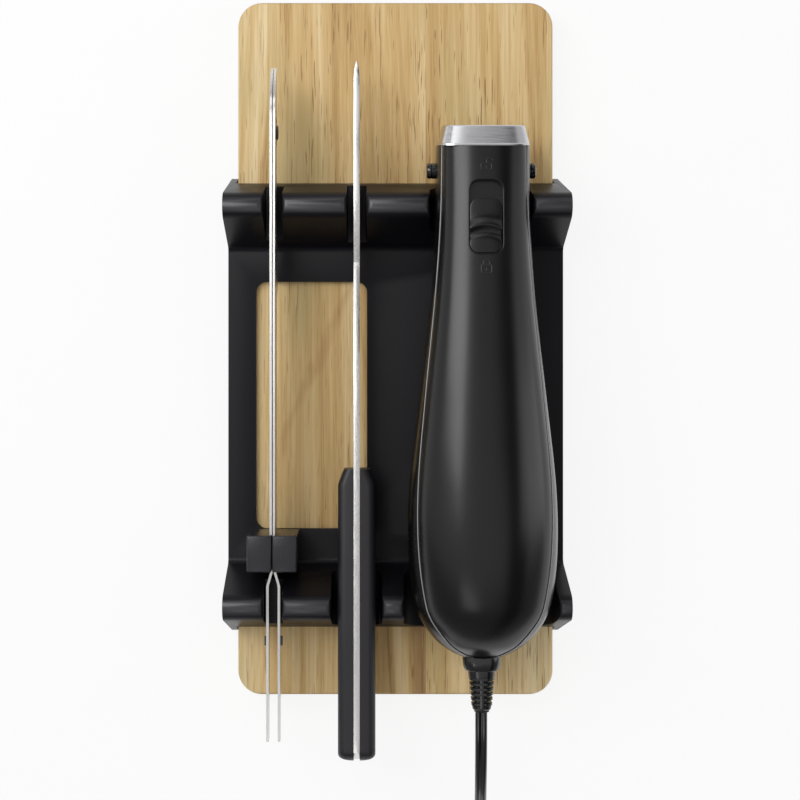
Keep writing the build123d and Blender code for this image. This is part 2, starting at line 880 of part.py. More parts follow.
def lock_floor_z():
    return crown_of_shell(lock_y) - lock_depth


def upper_cover(outer, core, cavity):
    """Teardrop cover with the lock switch's well and the bosses that the screws pull on"""
    cover = (outer & above_parting(reveal_width / 2)) + (core & above_parting(0)) - cavity
    well_x = lock_width / 2 + shell_wall
    well_y = lock_length / 2 + shell_wall
    floor_z = lock_floor_z()
    well = block((-well_x, well_x), (lock_y - well_y, lock_y + well_y),
                 (floor_z - lock_floor, shell_axis_z + bulb_half_height))
    cover += well & core
    for x, y in screw_places:
        cover += rod_z(boss_radius, boss_split_z, crown_of_shell(y), x, y) & core
    for x, y in screw_places:
        cover -= rod_z(screw_radius, 0, screw_depth_z + screw_length + overrun / 2, x, y)
    opening = extrude(RectangleRounded(lock_width, lock_length, lock_radius), amount=bulb_half_height)
    cover -= Pos(0, lock_y, floor_z) * opening
    slot_length = lock_stem_length + lock_travel + 2 * lock_gap
    slot = Rectangle(lock_stem_width + 2 * lock_gap, slot_length)
    cover -= Pos(0, lock_y, floor_z - 2 * lock_floor) * extrude(slot, amount=3 * lock_floor)
    return cover


def rail_x():
    """Inner and outer X of the two rails beside the trigger"""
    inner = trigger_width / 2 + 2 * slot_gap
    return inner, inner + frame_wall


def trigger_pin_place():
    rear_y = trigger_front_y - trigger_length
    rise = shell_wall + trigger_pin_rise_share * trigger_pin_radius
    return rear_y + 2 * trigger_pin_radius, belly_z(rear_y) + rise


def lower_housing(outer, core, cavity):
    """Lower shell with motor saddles, trigger rails, screw bosses, vents and the cord's exit"""
    shell = (outer - above_parting(-reveal_width / 2)) + (core - above_parting(0)) - cavity
    additions = []
    saddle_x = saddle_width_share * motor_radius
    for share in saddle_place_shares:
        y = motor_front_y - share * motor_length
        saddle = block((-saddle_x, saddle_x), (y - shell_wall / 2, y + shell_wall / 2),
                       (belly_z(y), motor_z - motor_radius / 2))
        additions.append(saddle - rod_y(motor_radius, y - shell_wall, y + shell_wall, 0, motor_z))
    rear_y = trigger_front_y - trigger_length
    inner, outer_x = rail_x()
    rail = block((inner, outer_x), (rear_y - overrun, trigger_front_y - overrun),
                 (belly_z(trigger_front_y) - 2 * shell_wall, switch_z))
    additions.append(both_sides(rail))
    guide_x = guide_half_width()
    post_y = guide_rear_y + guide_post_inset
    additions.append(block((-guide_x, guide_x), (post_y, post_y + guide_post_length),
                           (belly_z(guide_rear_y), guide_bottom_z())))
    for x, y in screw_places:
        additions.append(rod_z(boss_radius, belly_z(y), boss_split_z, x, y))
    for piece in additions:
        shell += piece & core
    for x, y in screw_places:
        shell -= rod_z(screw_radius, 0, boss_split_z + overrun, x, y)
        shell -= rod_z(screw_head_radius + part_gap, 0, screw_depth_z, x, y)
    pin_y, pin_z = trigger_pin_place()
    shell -= rod_x(trigger_pin_radius, -outer_x - overrun, outer_x + overrun, pin_y, pin_z)
    door_x = trigger_width / 2 + slot_gap
    shell -= block((-door_x, door_x), (rear_y - slot_gap, trigger_front_y + slot_gap), (0, switch_z))
    shell -= rod_x(button_radius + part_gap, -bulb_half_width, bulb_half_width, button_y, button_z)
    vent_y = motor_front_y - motor_length / 2
    for index in range(vent_count):
        y = vent_y + (index - (vent_count - 1) / 2) * vent_pitch
        slot = SlotOverall(vent_length, vent_width)
        shell -= Pos(0, y, 0) * extrude(slot, amount=belly_z(y) + 2 * shell_wall)
    shell -= rod_y(relief_neck_height / 2, shell_rear_y - overrun, shell_rear_y + 3 * shell_wall, 0, relief_z)
    return shell


def collar_section(y, share, inset):
    half_width, half_height, centre_z = section_size(shell_front_y)
    return rounded_section(y, share * half_width - inset, share * half_height - inset, centre_z,
                           collar_squareness)


def front_collar():
    """Brushed ring that closes the front of the housing round the blade sockets"""
    nose_y = shell_front_y + collar_length
    form = loft([collar_section(shell_front_y, collar_rear_share, 0),
                 collar_section(nose_y, collar_front_share, 0)])
    hollow = loft([collar_section(shell_front_y - overrun, collar_rear_share, collar_wall),
                   collar_section(nose_y - collar_wall, collar_front_share, collar_wall)])
    guide_x = guide_half_width() + part_gap
    return form - hollow - block((-guide_x, guide_x), (shell_front_y, nose_y + overrun),
                                 (guide_bottom_z() - part_gap, guide_top_z() + part_gap))


# Lock switch

def lock_slider():
    """Slider with a curved thumb ledge, its stem through the well's floor, and the bar below"""
    width = lock_width - 2 * lock_gap
    length = lock_length - lock_travel - 2 * lock_gap
    rear_y = lock_y - lock_length / 2 + lock_gap
    floor_z = lock_floor_z() + part_gap
    top_z = crown_of_shell(lock_y) - 2 * lock_floor / 3
    pad = extrude(RectangleRounded(width, length, lock_radius - lock_gap), amount=top_z - floor_z)
    slider = Pos(0, rear_y + length / 2, floor_z) * pad
    ledge_y = rear_y + length / 2
    arc = lock_ledge_radius
    ledge = rod_z(arc, top_z - overrun / 2, top_z + lock_ledge_height, 0,
                  ledge_y - arc + lock_ledge_length / 2)
    ledge -= rod_z(arc, top_z - overrun, top_z + overrun, 0, ledge_y - arc - lock_ledge_length / 2)
    slider += ledge & block((-width / 2, width / 2), (rear_y, rear_y + length), (floor_z, top_z + overrun))
    stem_rear_y = lock_y - (lock_stem_length + lock_travel) / 2
    bar_top_z = lock_floor_z() - lock_floor - part_gap
    slider += block((-lock_stem_width / 2, lock_stem_width / 2),
                    (stem_rear_y, stem_rear_y + lock_stem_length),
                    (bar_top_z - lock_bar_thickness / 2, floor_z + overrun / 2))
    bar_x = lock_width / 3
    middle_y = stem_rear_y + lock_stem_length / 2
    slider += block((-bar_x, bar_x), (middle_y - lock_bar_length / 2, middle_y + lock_bar_length / 2),
                    (bar_top_z - lock_bar_thickness, bar_top_z))
    return slider


# Buttons and springs

def coil_spring(radius, wire, turns, length):
    """Compression spring along +Z from the origin, in square wire"""
    path = Helix(pitch=(length - wire) / turns, height=length - wire, radius=radius)
    path = Pos(0, 0, wire / 2) * path
    start = Plane(origin=path @ 0, x_dir=(1, 0, 0), z_dir=path % 0)
    return sweep(start * Rectangle(wire, wire), path=path, is_frenet=True)


def button_wall_x():
    """Where the inside of the housing's side lies at the button"""
    return section_size(button_y)[0] - shell_wall


def release_button():
    flange_x = button_wall_x() - 4 * part_gap
    button = rod_x(button_radius, button_inner_reach, button_reach, button_y, button_z)
    button = chamfer(button.edges().group_by(Axis.X)[-1], button_radius / 4)
    return button + rod_x(button_flange_radius, flange_x - button_flange_thickness, flange_x,
                          button_y, button_z)


def button_spring():
    length = button_inner_reach - guide_half_width() - 2 * shaft_gap
    spring = coil_spring(button_spring_radius, button_spring_wire, button_spring_turns, length)
    return Pos(guide_half_width() + shaft_gap, button_y, button_z) * Rot(0, 90, 0) * spring


# Trigger and its switch

def trigger():
    """Finger lever on a cross pin, curved where the finger pulls it"""
    rear_y = trigger_front_y - trigger_length
    pin_y, pin_z = trigger_pin_place()
    top_z = belly_z(trigger_front_y) + shell_wall / 2
    rear_z = belly_z(rear_y)
    front_z = belly_z(trigger_front_y)
    curve = [(0, rear_y, rear_z)]
    for along, drop in trigger_curve_shares:
        skin_z = rear_z + along * (front_z - rear_z)
        curve.append((0, rear_y + along * trigger_length, skin_z - drop * trigger_drop))
    curve.append((0, trigger_front_y - trigger_drop / 2, front_z - trigger_drop))
    back, down = trigger_nose_shares
    nose = (0, trigger_front_y - back * trigger_drop, front_z - down * trigger_drop)
    lines = [
        Line((0, rear_y, pin_z), (0, rear_y, rear_z)),
        Spline(curve),
        ThreePointArc(curve[-1], nose, (0, trigger_front_y, front_z - trigger_drop / 2)),
        Line((0, trigger_front_y, front_z - trigger_drop / 2), (0, trigger_front_y, top_z)),
        Line((0, trigger_front_y, top_z), (0, rear_y + 3 * trigger_pin_radius, top_z)),
        Line((0, rear_y + 3 * trigger_pin_radius, top_z), (0, rear_y, pin_z)),
    ]
    lever = across(make_face(Wire(lines)), trigger_width / 2)
    lever += rod_x(2 * trigger_pin_radius, -trigger_width / 2, trigger_width / 2, pin_y, pin_z)
    lever -= rod_x(trigger_pin_radius + shaft_gap, -trigger_width, trigger_width, pin_y, pin_z)
    return lever


def trigger_pin():
    reach = rail_x()[1]
    pin_y, pin_z = trigger_pin_place()
    return rod_x(trigger_pin_radius, -reach, reach, pin_y, pin_z)


def spring_y():
    return trigger_front_y - trigger_spring_share * trigger_length


def trigger_spring():
    low_z = belly_z(trigger_front_y) + shell_wall / 2 + shaft_gap
    spring = coil_spring(trigger_spring_radius, trigger_spring_wire, trigger_spring_turns,
                         switch_z - low_z - shaft_gap)
    return Pos(0, spring_y(), low_z) * spring


def trigger_switch():
    """Snap switch on the two rails, with its button over the trigger"""
    front_y = trigger_front_y - switch_setback
    body = block((-switch_width / 2, switch_width / 2), (front_y - switch_length, front_y),
                 (switch_z, switch_z + switch_height))
    plunger_y = front_y - switch_length / 4
    body += rod_z(plunger_radius, switch_z - plunger_height, switch_z + plunger_height, 0, plunger_y)
    for step in (-1, 1):
        x = step * switch_width / 4
        body += block((x - terminal_thickness / 2, x + terminal_thickness / 2),
                      (front_y - switch_length - terminal_length, front_y - switch_length + overrun),
                      (switch_z + switch_height / 3, switch_z + 2 * switch_height / 3))
    return body


# Motor

def motor_can():
    can = rod_y(motor_radius, motor_rear_y, motor_front_y, 0, motor_z)
    can -= rod_y(motor_radius - motor_wall, motor_rear_y - overrun, motor_front_y - motor_wall, 0, motor_z)
    can -= rod_y(bush_radius, motor_front_y - overrun, motor_front_y + overrun, 0, motor_z)
    for angle in (45, 135, 225, 315):
        x = can_hole_share * motor_radius * math.cos(math.radians(angle))
        z = can_hole_share * motor_radius * math.sin(math.radians(angle))
        can -= rod_y(can_hole_radius, motor_front_y - overrun, motor_front_y + overrun, x, motor_z + z)
    return can


def magnets_y():
    middle = motor_front_y - motor_length / 2
    return middle - magnet_end_share * motor_length, middle + magnet_end_share * motor_length


def magnet_ring():
    """Two arc magnets against the inside of the can"""
    low_y, high_y = magnets_y()
    outer = motor_radius - motor_wall
    ring = rod_y(outer, low_y, high_y, 0, motor_z)
    ring -= rod_y(outer - magnet_thickness, low_y - overrun, high_y + overrun, 0, motor_z)
    half = outer * math.cos(math.radians(magnet_arc / 2))
    ring -= block((-motor_radius, motor_radius), (low_y - overrun, high_y + overrun),
                  (motor_z - half, motor_z + half))
    return ring


def core_y():
    middle = motor_front_y - motor_length / 2
    return middle - core_length / 2, middle + core_length / 2


def armature_core():
    """Laminated stack with its winding slots"""
    low_y, high_y = core_y()
    core = rod_y(core_radius, low_y, high_y, 0, motor_z)
    core -= rod_y(shaft_radius, low_y - overrun, high_y + overrun, 0, motor_z)
    for index in range(core_slots):
        angle = 360 * index / core_slots
        slot = block((-core_slot_width / 2, core_slot_width / 2), (low_y - overrun, high_y + overrun),
                     (core_slot_floor_share * core_radius, core_radius + overrun))
        core -= Pos(0, 0, motor_z) * Rot(0, angle, 0) * slot
    return core


def armature_windings():
    low_y, high_y = core_y()
    ends = [(low_y - winding_length, low_y), (high_y, high_y + winding_length)]
    rings = []
    for start, end in ends:
        ring = rod_y(winding_radius, start, end, 0, motor_z)
        rings.append(ring - rod_y(shaft_radius, start - overrun, end + overrun, 0, motor_z))
    return Compound(rings)


def commutator_y():
    front = core_y()[0] - winding_length
    return front - commutator_length, front


def commutator():
    low_y, high_y = commutator_y()
    ring = rod_y(commutator_radius, low_y, high_y, 0, motor_z)
    ring -= rod_y(shaft_radius, low_y - overrun, high_y + overrun, 0, motor_z)
    for index in range(core_slots):
        cut = block((-commutator_cut / 2, commutator_cut / 2), (low_y - overrun, high_y - overrun / 2),
                    (commutator_cut_share * commutator_radius, commutator_radius + overrun))
        ring -= Pos(0, 0, motor_z) * Rot(0, 360 * index / core_slots, 0) * cut
    return ring


def carbon_brushes():
    low_y, high_y = commutator_y()
    middle = (low_y + high_y) / 2
    brush = block((commutator_radius + shaft_gap, brush_reach_share * motor_radius),
                  (middle - brush_width / 2, middle + brush_width / 2),
                  (motor_z - brush_width / 2, motor_z + brush_width / 2))
    return both_sides(brush)


def end_cap():
    """Rear cap of the motor with the brush holders and the rear bush's seat"""
    cap = rod_y(motor_radius, motor_rear_y - end_cap_thickness, motor_rear_y, 0, motor_z)
    low_y, high_y = commutator_y()
    holder_x = (commutator_radius + 2 * part_gap, brush_reach_share * motor_radius)
    wall = brush_width / 2
    for low_z, high_z in ((-2 * wall, -wall), (wall, 2 * wall)):
        arm = block(holder_x, (motor_rear_y, high_y), (motor_z + low_z, motor_z + high_z))
        cap += both_sides(arm)
    return cap - rod_y(bush_radius, motor_rear_y - 2 * end_cap_thickness, motor_rear_y + overrun, 0, motor_z)


def bush(y_from, y_to):
    ring = rod_y(bush_radius, y_from, y_to, 0, motor_z)
    return ring - rod_y(shaft_radius + shaft_gap, y_from - overrun, y_to + overrun, 0, motor_z)


def motor_bushes():
    return Compound([
        bush(motor_front_y - bush_length, motor_front_y),
        bush(motor_rear_y - end_cap_thickness, motor_rear_y - end_cap_thickness + bush_length),
        bush(*nose_wall_y()),
    ])


def motor_shaft():
    return rod_y(shaft_radius, motor_rear_y - end_cap_thickness, shaft_front_y, 0, motor_z)


def cooling_fan():
    """Fan just inside the front of the can"""
    front_y = motor_front_y - bush_length - overrun / 2
    rear_y = front_y - fan_length
    hub = rod_y(2 * shaft_radius, rear_y, front_y, 0, motor_z)
    blade = block((-fan_blade_thickness / 2, fan_blade_thickness / 2), (rear_y, front_y),
                  (shaft_radius, fan_radius))
    for index in range(fan_blades):
        hub += Pos(0, 0, motor_z) * Rot(0, 360 * index / fan_blades, 0) * blade
    return hub - rod_y(shaft_radius, rear_y - overrun, front_y + overrun, 0, motor_z)


def rectifier_board():
    """Round circuit board behind the end cap, with four diodes"""
    front_y = motor_rear_y - end_cap_thickness
    rear_y = front_y - board_disc_thickness
    disc = rod_y(rectifier_radius_share * motor_radius, rear_y, front_y, 0, motor_z)
    disc -= rod_y(bush_radius + part_gap, rear_y - overrun, front_y + overrun, 0, motor_z)
    for sx in (-1, 1):
        for sz in (-1, 1):
            x = sx * diode_place_share * motor_radius
            z = motor_z + sz * diode_place_share * motor_radius
            disc += rod_x(diode_radius, x - diode_length / 2, x + diode_length / 2,
                          rear_y - diode_radius + shaft_gap, z)
    return disc


# Worm drive

def worm():
    """Single start worm whose thread passes the gear's uppermost gap at rest"""
    length = worm_turns * worm_pitch
    root = worm_pitch_radius - gear_module
    path = Helix(pitch=worm_pitch, height=length, radius=root)
    start = Plane(origin=path @ 0, x_dir=(1, 0, 0), z_dir=path % 0)
    half_root = worm_pitch * worm_tooth_share
    half_tip = half_root / 2
    tooth = Polyline([(-thread_sink, -half_root), (2 * gear_module, -half_tip),
                      (2 * gear_module, half_tip), (-thread_sink, half_root)], close=True)
    thread = sweep(start * make_face(tooth), path=path, is_frenet=True)
    core = Pos(0, 0, length / 2) * Cylinder(root, length + 2 * overrun)
    screw = core + thread - Cylinder(shaft_radius, 4 * length)
    mesh_turns = worm_turns // 2 + 1 / 4
    return Pos(0, gear_y - mesh_turns * worm_pitch, motor_z) * Rot(-90, 0, 0) * screw


def tooth_corner(radius, turn):
    angle = 2 * math.pi * turn
    return (0, gear_y + radius * math.sin(angle), gear_z + radius * math.cos(angle))


def drive_gear():
    """Worm wheel with a crank pin on each face, half a turn apart"""
    root = gear_pitch_radius - 1.25 * gear_module
    tip = gear_outer_radius
    points = []
    for index in range(gear_teeth):
        middle = (index + 1 / 2) / gear_teeth
        foot = gear_foot_share / gear_teeth
        point = gear_point_share / gear_teeth
        points += [tooth_corner(root, middle - foot), tooth_corner(tip, middle - point),
                   tooth_corner(tip, middle + point), tooth_corner(root, middle + foot)]
    gear = across(make_face(Polyline(points, close=True)), gear_width / 2)
    pin_x = gear_width / 2 + crank_pin_length
    gear += rod_x(crank_pin_radius, -pin_x, 0, gear_y, gear_z + blade_stroke)
    gear += rod_x(crank_pin_radius, 0, pin_x, gear_y, gear_z - blade_stroke)
    return gear - rod_x(axle_radius + shaft_gap, -2 * pin_x, 2 * pin_x, gear_y, gear_z)


def gear_axle():
    return rod_x(axle_radius, -axle_length / 2, axle_length / 2, gear_y, gear_z)


def nose_wall_y():
    """Front and rear of the wall that carries the nose end of the shaft"""
    front = shaft_front_y - part_gap
    return front - bush_length, front


def gear_frame():
    """Pressed frame on the motor's nose that carries the gear axle and the shaft's nose bush"""
    outer_x = axle_length / 2
    low_z = gear_z - 2 * boss_radius
    high_z = motor_z + frame_nose_rise
    wall_y = nose_wall_y()
    cheek = block((frame_inner_x, outer_x), (motor_front_y, wall_y[1]), (low_z, high_z))
    frame = both_sides(cheek)
    frame += block((-outer_x, outer_x), wall_y, (bar_top() + part_gap, high_z))
    frame -= rod_y(bush_radius, wall_y[0] - overrun, wall_y[1] + overrun, 0, motor_z)
    frame -= rod_x(axle_radius, -2 * outer_x, 2 * outer_x, gear_y, gear_z)
    return frame


def bar_top():
    return bar_axis_z + bar_height / 2


def drive_yoke(side):
    """Blade carrier: a window round the crank pin, and a bar with the socket for a tang"""
    reach = blade_stroke + axle_radius + slot_gap
    frame_y = reach + yoke_frame
    bridge_y = gear_y + gear_outer_radius + blade_stroke + part_gap
    plate_low = gear_z - reach - yoke_frame
    plate_x = (yoke_inner_x, yoke_inner_x + yoke_thickness)
    yoke = block(plate_x, (gear_y - frame_y, bridge_y + bar_thickness), (plate_low, bar_top()))
    yoke -= block((0, 2 * plate_x[1]), (gear_y - reach, gear_y + reach), (gear_z - reach, gear_z + reach))
    bar_low = bar_axis_z - bar_height / 2
    yoke += block((bar_gap, plate_x[1]), (bridge_y, bridge_y + bar_thickness), (bar_low, bar_top()))
    yoke += block((bar_gap, bar_gap + bar_thickness), (bridge_y, bar_front_y), (bar_low, bar_top()))
    slot_x = tang_spacing / 2
    slot_half = blade_thickness / 2 + part_gap
    slot_rear = shell_front_y + collar_length - (guard_front_y - guard_length - tang_end_y) - overrun
    tang_half = tang_height / 2 + part_gap
    yoke -= block((slot_x - slot_half, slot_x + slot_half), (slot_rear, bar_front_y + overrun),
                  (bar_axis_z - tang_half, bar_axis_z + tang_half))
    return yoke if side > 0 else mirror(yoke, about=Plane.YZ)


# Front guide

def guide_half_width():
    return bar_gap + bar_thickness + bar_gap / 2 + guide_wall


def guide_bottom_z():
    return bar_axis_z - bar_height / 2 - bar_gap / 2 - guide_wall


def guide_top_z():
    return bar_top() + bar_gap / 2 + guide_wall


def front_guide():
    """Block with the two channels that the blade carriers run in, seen through the collar"""
    half = guide_half_width()
    guide = block((-half, half), (guide_rear_y, guide_front_y), (guide_bottom_z(), guide_top_z()))
    low = bar_gap / 2
    channel = block((low, half - guide_wall), (guide_rear_y - overrun, guide_front_y + overrun),
                    (guide_bottom_z() + guide_wall, guide_top_z() - guide_wall))
    return guide - both_sides(channel)


def housing_screws():
    """Four screws from below, head in the lower boss and thread in the cover's boss"""
    screws = []
    for x, y in screw_places:
        shank = rod_z(screw_radius, screw_depth_z, screw_depth_z + screw_length, x, y)
        head = rod_z(screw_head_radius, screw_depth_z - screw_head_height, screw_depth_z, x, y)
        screws.append(shank + head)
    return Compound(screws)


# Cord

def strain_relief():
    """Flared collar, neck and ribbed tail round the cord, with a flange inside the housing"""
    y_collar = shell_rear_y - relief_collar_length
    y_neck = y_collar - relief_neck_length
    y_tail = y_neck - relief_tail_length

    def oval(place, width, height):
        plane = Plane(origin=(0, place, relief_z), x_dir=(1, 0, 0), z_dir=(0, 1, 0))
        return plane * RectangleRounded(width, height, relief_corner_share * height)

    def ring(y_from, y_to, width, height):
        return extrude(oval(y_from, width, height), amount=y_to - y_from, dir=(0, 1, 0))

    taper = relief_collar_taper_share
    core = 1 - 2 * relief_rib_depth / relief_neck_height
    relief = loft([oval(shell_rear_y, relief_collar_width, relief_collar_height),
                   oval(y_collar, taper * relief_collar_width, taper * relief_collar_height)])
    relief += ring(y_neck, y_collar, relief_neck_width, relief_neck_height)
    relief += loft([oval(y_neck, core * relief_neck_width, core * relief_neck_height),
                    oval(y_tail, core * relief_tail_width, core * relief_tail_height)])
    relief += ring(y_tail - relief_ring_length, y_tail, relief_tail_width, relief_tail_height)
    rib_step = relief_tail_length / (relief_rib_count + 1 / 2)
    for index in range(relief_rib_count):
        start = y_neck - (index + 1 / 2) * rib_step
        share = (index + 1 / 2) / relief_rib_count
        width = relief_neck_width + share * (relief_tail_width - relief_neck_width)
        height = relief_neck_height + share * (relief_tail_height - relief_neck_height)
        relief += ring(start - rib_step / 2, start, width, height)
    inner_y = shell_rear_y + body_station_shares[1][0] * shell_length
    relief += rod_y(relief_neck_height / 2, shell_rear_y - overrun, inner_y + 2 * shell_wall, 0, relief_z)
    flange_radius = relief_neck_height / 2 + relief_flange_lip
    return relief + rod_y(flange_radius, inner_y, inner_y + shell_wall / 2, 0, relief_z)


def route_radii(points):
    """Bend radius at each corner of a route, from the shorter run and half the turn"""
    radii = []
    for before, corner, after in zip(points, points[1:], points[2:]):
        run_in = Vector(*corner) - Vector(*before)
        run_out = Vector(*after) - Vector(*corner)
        turn = math.radians(run_in.get_angle(run_out))
        radii.append(bend_run_share * min(run_in.length, run_out.length) / math.tan(turn / 2))
    return radii


def cord_section():
    return RegularPolygon(radius=cord_diameter / 2, side_count=cord_side_count)


def tube(path):
    start = Plane(origin=path @ 0, z_dir=path % 0)
    return sweep(start * cord_section(), path=path)


def power_cord():
    radii = route_radii(cord_route)
    print("cord bend radii", [round(radius, 1) for radius in radii])
    path = FilletPolyline(*cord_route, radius=radii)
    cord = tube(path)
    share = cord.volume / cord_section().area / path.length
    print("cord length", round(path.length, 1), "volume share", round(share, 5))
    return cord


def half_turn(start, radius, heading, rise):
    """Half turn of the coil in two quarter arcs, from a point heading along -Y or +Y"""
    x, y, z = start
    side = -1 if heading < 0 else 1
    bow = math.hypot(radius, rise / 2)
    middle = (x + side * radius, y + heading * bow, z + rise / 2)
    end = (x + 2 * side * radius, y, z + rise)
    first = TangentArc(start, middle, tangent=(0, heading, 0))
    second = TangentArc(middle, end, tangent=first % 1)
    return [first, second], end


def coil_path():
    """Two layers: inward on the upper one, down in the turning half turn, outward on the lower"""
    start = cord_route[-1]
    entry = (start[0], start[1] - coil_entry_run, start[2])
    edges = [Line(start, entry)]
    point = entry
    heading = -1
    step = coil_pitch / 2
    inward = [coil_outer_radius - index * step for index in range(coil_half_turns)]
    turns = [(radius, 0) for radius in inward]
    turns.append((inward[-1] - step, -coil_layer_rise))
    turns += [(radius, 0) for radius in reversed(inward)]
    for radius, rise in turns:
        arcs, point = half_turn(point, radius, heading, rise)
        edges += arcs
        heading = -heading
    tail = (point[0], point[1] + heading * coil_exit_run, point[2])
    edges.append(Line(point, tail))
    return Wire(edges), tail


def least_coil_gap(path):
    """Least distance between turns less the cord's diameter, measured on points"""
    length = path.length
    count = int(length / (cord_diameter / 4))
    points = [path.position_at(index / count) for index in range(count + 1)]
    reach = int(4 * cord_diameter / (length / count))
    least = length
    for index, point in enumerate(points):
        for other in points[index + reach:]:
            least = min(least, (point - other).length)
    return least - cord_diameter


def cord_coil():
    path = coil_path()[0]
    coil = tube(path)
    share = coil.volume / cord_section().area / path.length
    print("coil length", round(path.length, 1), "volume share", round(share, 5))
    print("least gap between the coil's turns", round(least_coil_gap(path), 2))
    return coil


def cord_tie():
    """Strap round the coil's bundle, on the side away from the knife"""
    entry_y = cord_route[-1][1] - coil_entry_run
    centre_x = cord_route[-1][0] - coil_outer_radius - coil_pitch / 2
    outer_radius = coil_outer_radius + cord_diameter / 2 + part_gap
    inner_turn = coil_outer_radius - (coil_half_turns - 1) * coil_pitch / 2
    inner_drop = (coil_pitch / 2 + tie_width / 2) ** 2 / (2 * inner_turn)
    inner_radius = inner_turn - inner_drop - cord_diameter / 2 - part_gap
    top_z = cord_route[-1][2] + cord_diameter / 2 + part_gap
    low_z = cord_lift - part_gap
    width = outer_radius - inner_radius
    height = top_z - low_z
    middle = (centre_x, entry_y - (outer_radius + inner_radius) / 2, (top_z + low_z) / 2)
    plane = Plane(origin=middle, x_dir=(0, 1, 0), z_dir=(1, 0, 0))
    outer = RectangleRounded(width + 2 * tie_thickness, height + 2 * tie_thickness, 2 * tie_thickness)
    inner = RectangleRounded(width, height, tie_thickness)
    return extrude(plane * (outer - inner), amount=tie_width / 2, both=True)


def plug_axis_z():
    return plug_thickness / 2 + shaft_gap


def plug_body():
    """Moulded two pin plug, drawn in where the cord enters"""
    x, y, z = coil_path()[1]

    def across_cord(place, middle_z, width, height):
        plane = Plane(origin=(x, place, middle_z), x_dir=(1, 0, 0), z_dir=(0, 1, 0))
        return plane * RectangleRounded(width, height, plug_corner_share * height)

    grip_z = plug_axis_z()
    nose_z_end = (z + grip_z) / 2
    neck_y = y + plug_nose_length
    nose = loft([across_cord(y, z, plug_nose_shares[0] * plug_width, 2 * (z - shaft_gap)),
                 across_cord(neck_y, nose_z_end, plug_nose_shares[1] * plug_width,
                             2 * (nose_z_end - shaft_gap))])
    grip = loft([across_cord(neck_y, grip_z, plug_grip_share * plug_width, plug_thickness),
                 across_cord(y + plug_length, grip_z, plug_width, plug_thickness)])
    return nose + grip


def plug_prongs():
    x, y, z = coil_path()[1]
    face_y = y + plug_length
    prongs = []
    for side in (-1, 1):
        middle = x + side * prong_spacing / 2
        prong = block((middle - prong_thickness / 2, middle + prong_thickness / 2),
                      (face_y, face_y + prong_length),
                      (plug_axis_z() - prong_width / 2, plug_axis_z() + prong_width / 2))
        tip = prong.edges().filter_by(Axis.X).group_by(Axis.Y)[-1]
        prongs.append(chamfer(tip, prong_width / 5))
    return Compound(prongs)


# Write every sub-part

tray, tray_ridges = tray_and_ridges()
save(tray, "tray")
save(tray_ridges, "tray_ridges")
save(tray_feet(), "tray_feet")
save(cutting_board(), "cutting_board")
for side, name in ((-1, "left"), (1, "right")):
    save(knife_blade(side), "knife_blade_" + name)
    save(tang_nub(side), "tang_nub_" + name)
    save(blade_guard(side), "blade_guard_" + name)
    save(fork_scale(side), "fork_scale_" + name)
    save(place_knife(drive_yoke(side)), "drive_yoke_" + name)
save(fork_steel(), "fork_steel")
save(fork_rivets(), "fork_rivets")

outer_form = body_form(0, 0, 0)
core_form = body_form(reveal_depth, 0, 0)
cavity_form = body_form(shell_wall, 1, overrun)
save(place_knife(upper_cover(outer_form, core_form, cavity_form)), "upper_cover")
save(place_knife(lower_housing(outer_form, core_form, cavity_form)), "lower_housing")
save(place_knife(front_collar()), "front_collar")
save(place_knife(lock_slider()), "lock_slider")
right_button = release_button()
right_spring = button_spring()
save(place_knife(right_button), "release_button_right")
save(place_knife(mirror(right_button, about=Plane.YZ)), "release_button_left")
save(place_knife(right_spring), "button_spring_right")
save(place_knife(mirror(right_spring, about=Plane.YZ)), "button_spring_left")
knife_parts = {
    "trigger": trigger(),
    "trigger_pin": trigger_pin(),
    "trigger_spring": trigger_spring(),
    "trigger_switch": trigger_switch(),
    "motor_can": motor_can(),
    "motor_magnets": magnet_ring(),
    "armature_core": armature_core(),
    "armature_windings": armature_windings(),
    "commutator": commutator(),
    "carbon_brushes": carbon_brushes(),
    "motor_end_cap": end_cap(),
    "motor_bushes": motor_bushes(),
    "motor_shaft": motor_shaft(),
    "cooling_fan": cooling_fan(),
    "rectifier_board": rectifier_board(),
    "worm": worm(),
    "drive_gear": drive_gear(),
    "gear_axle": gear_axle(),
    "gear_frame": gear_frame(),
    "front_guide": front_guide(),
    "housing_screws": housing_screws(),
    "strain_relief": strain_relief(),
}
for node, piece in knife_parts.items():
    save(place_knife(piece), node)

save(power_cord(), "power_cord")
save(cord_coil(), "cord_coil")
save(cord_tie(), "cord_tie")
save(plug_body(), "plug_body")
save(plug_prongs(), "plug_prongs")
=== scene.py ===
"""Looks of an electric carving knife set, stood in its storage tray over a carving board"""

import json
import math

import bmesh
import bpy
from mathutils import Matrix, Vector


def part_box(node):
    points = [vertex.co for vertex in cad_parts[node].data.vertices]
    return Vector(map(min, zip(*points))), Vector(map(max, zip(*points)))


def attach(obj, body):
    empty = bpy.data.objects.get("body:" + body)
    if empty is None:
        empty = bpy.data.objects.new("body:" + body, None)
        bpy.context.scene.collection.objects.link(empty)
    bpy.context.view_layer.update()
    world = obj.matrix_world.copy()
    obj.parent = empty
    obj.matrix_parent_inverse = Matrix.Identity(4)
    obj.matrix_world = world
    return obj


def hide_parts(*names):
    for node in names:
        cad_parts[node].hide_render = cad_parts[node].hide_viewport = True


bl_info = {
    "name": "Electric carving knife set",
    "version": (1, 0, 0),
    "blender": (4, 5, 0),
    "location": "View3D > Sidebar > Carving Set",
    "description": "Builds the visible pieces of the set round its measured frame",
    "category": "Object",
}

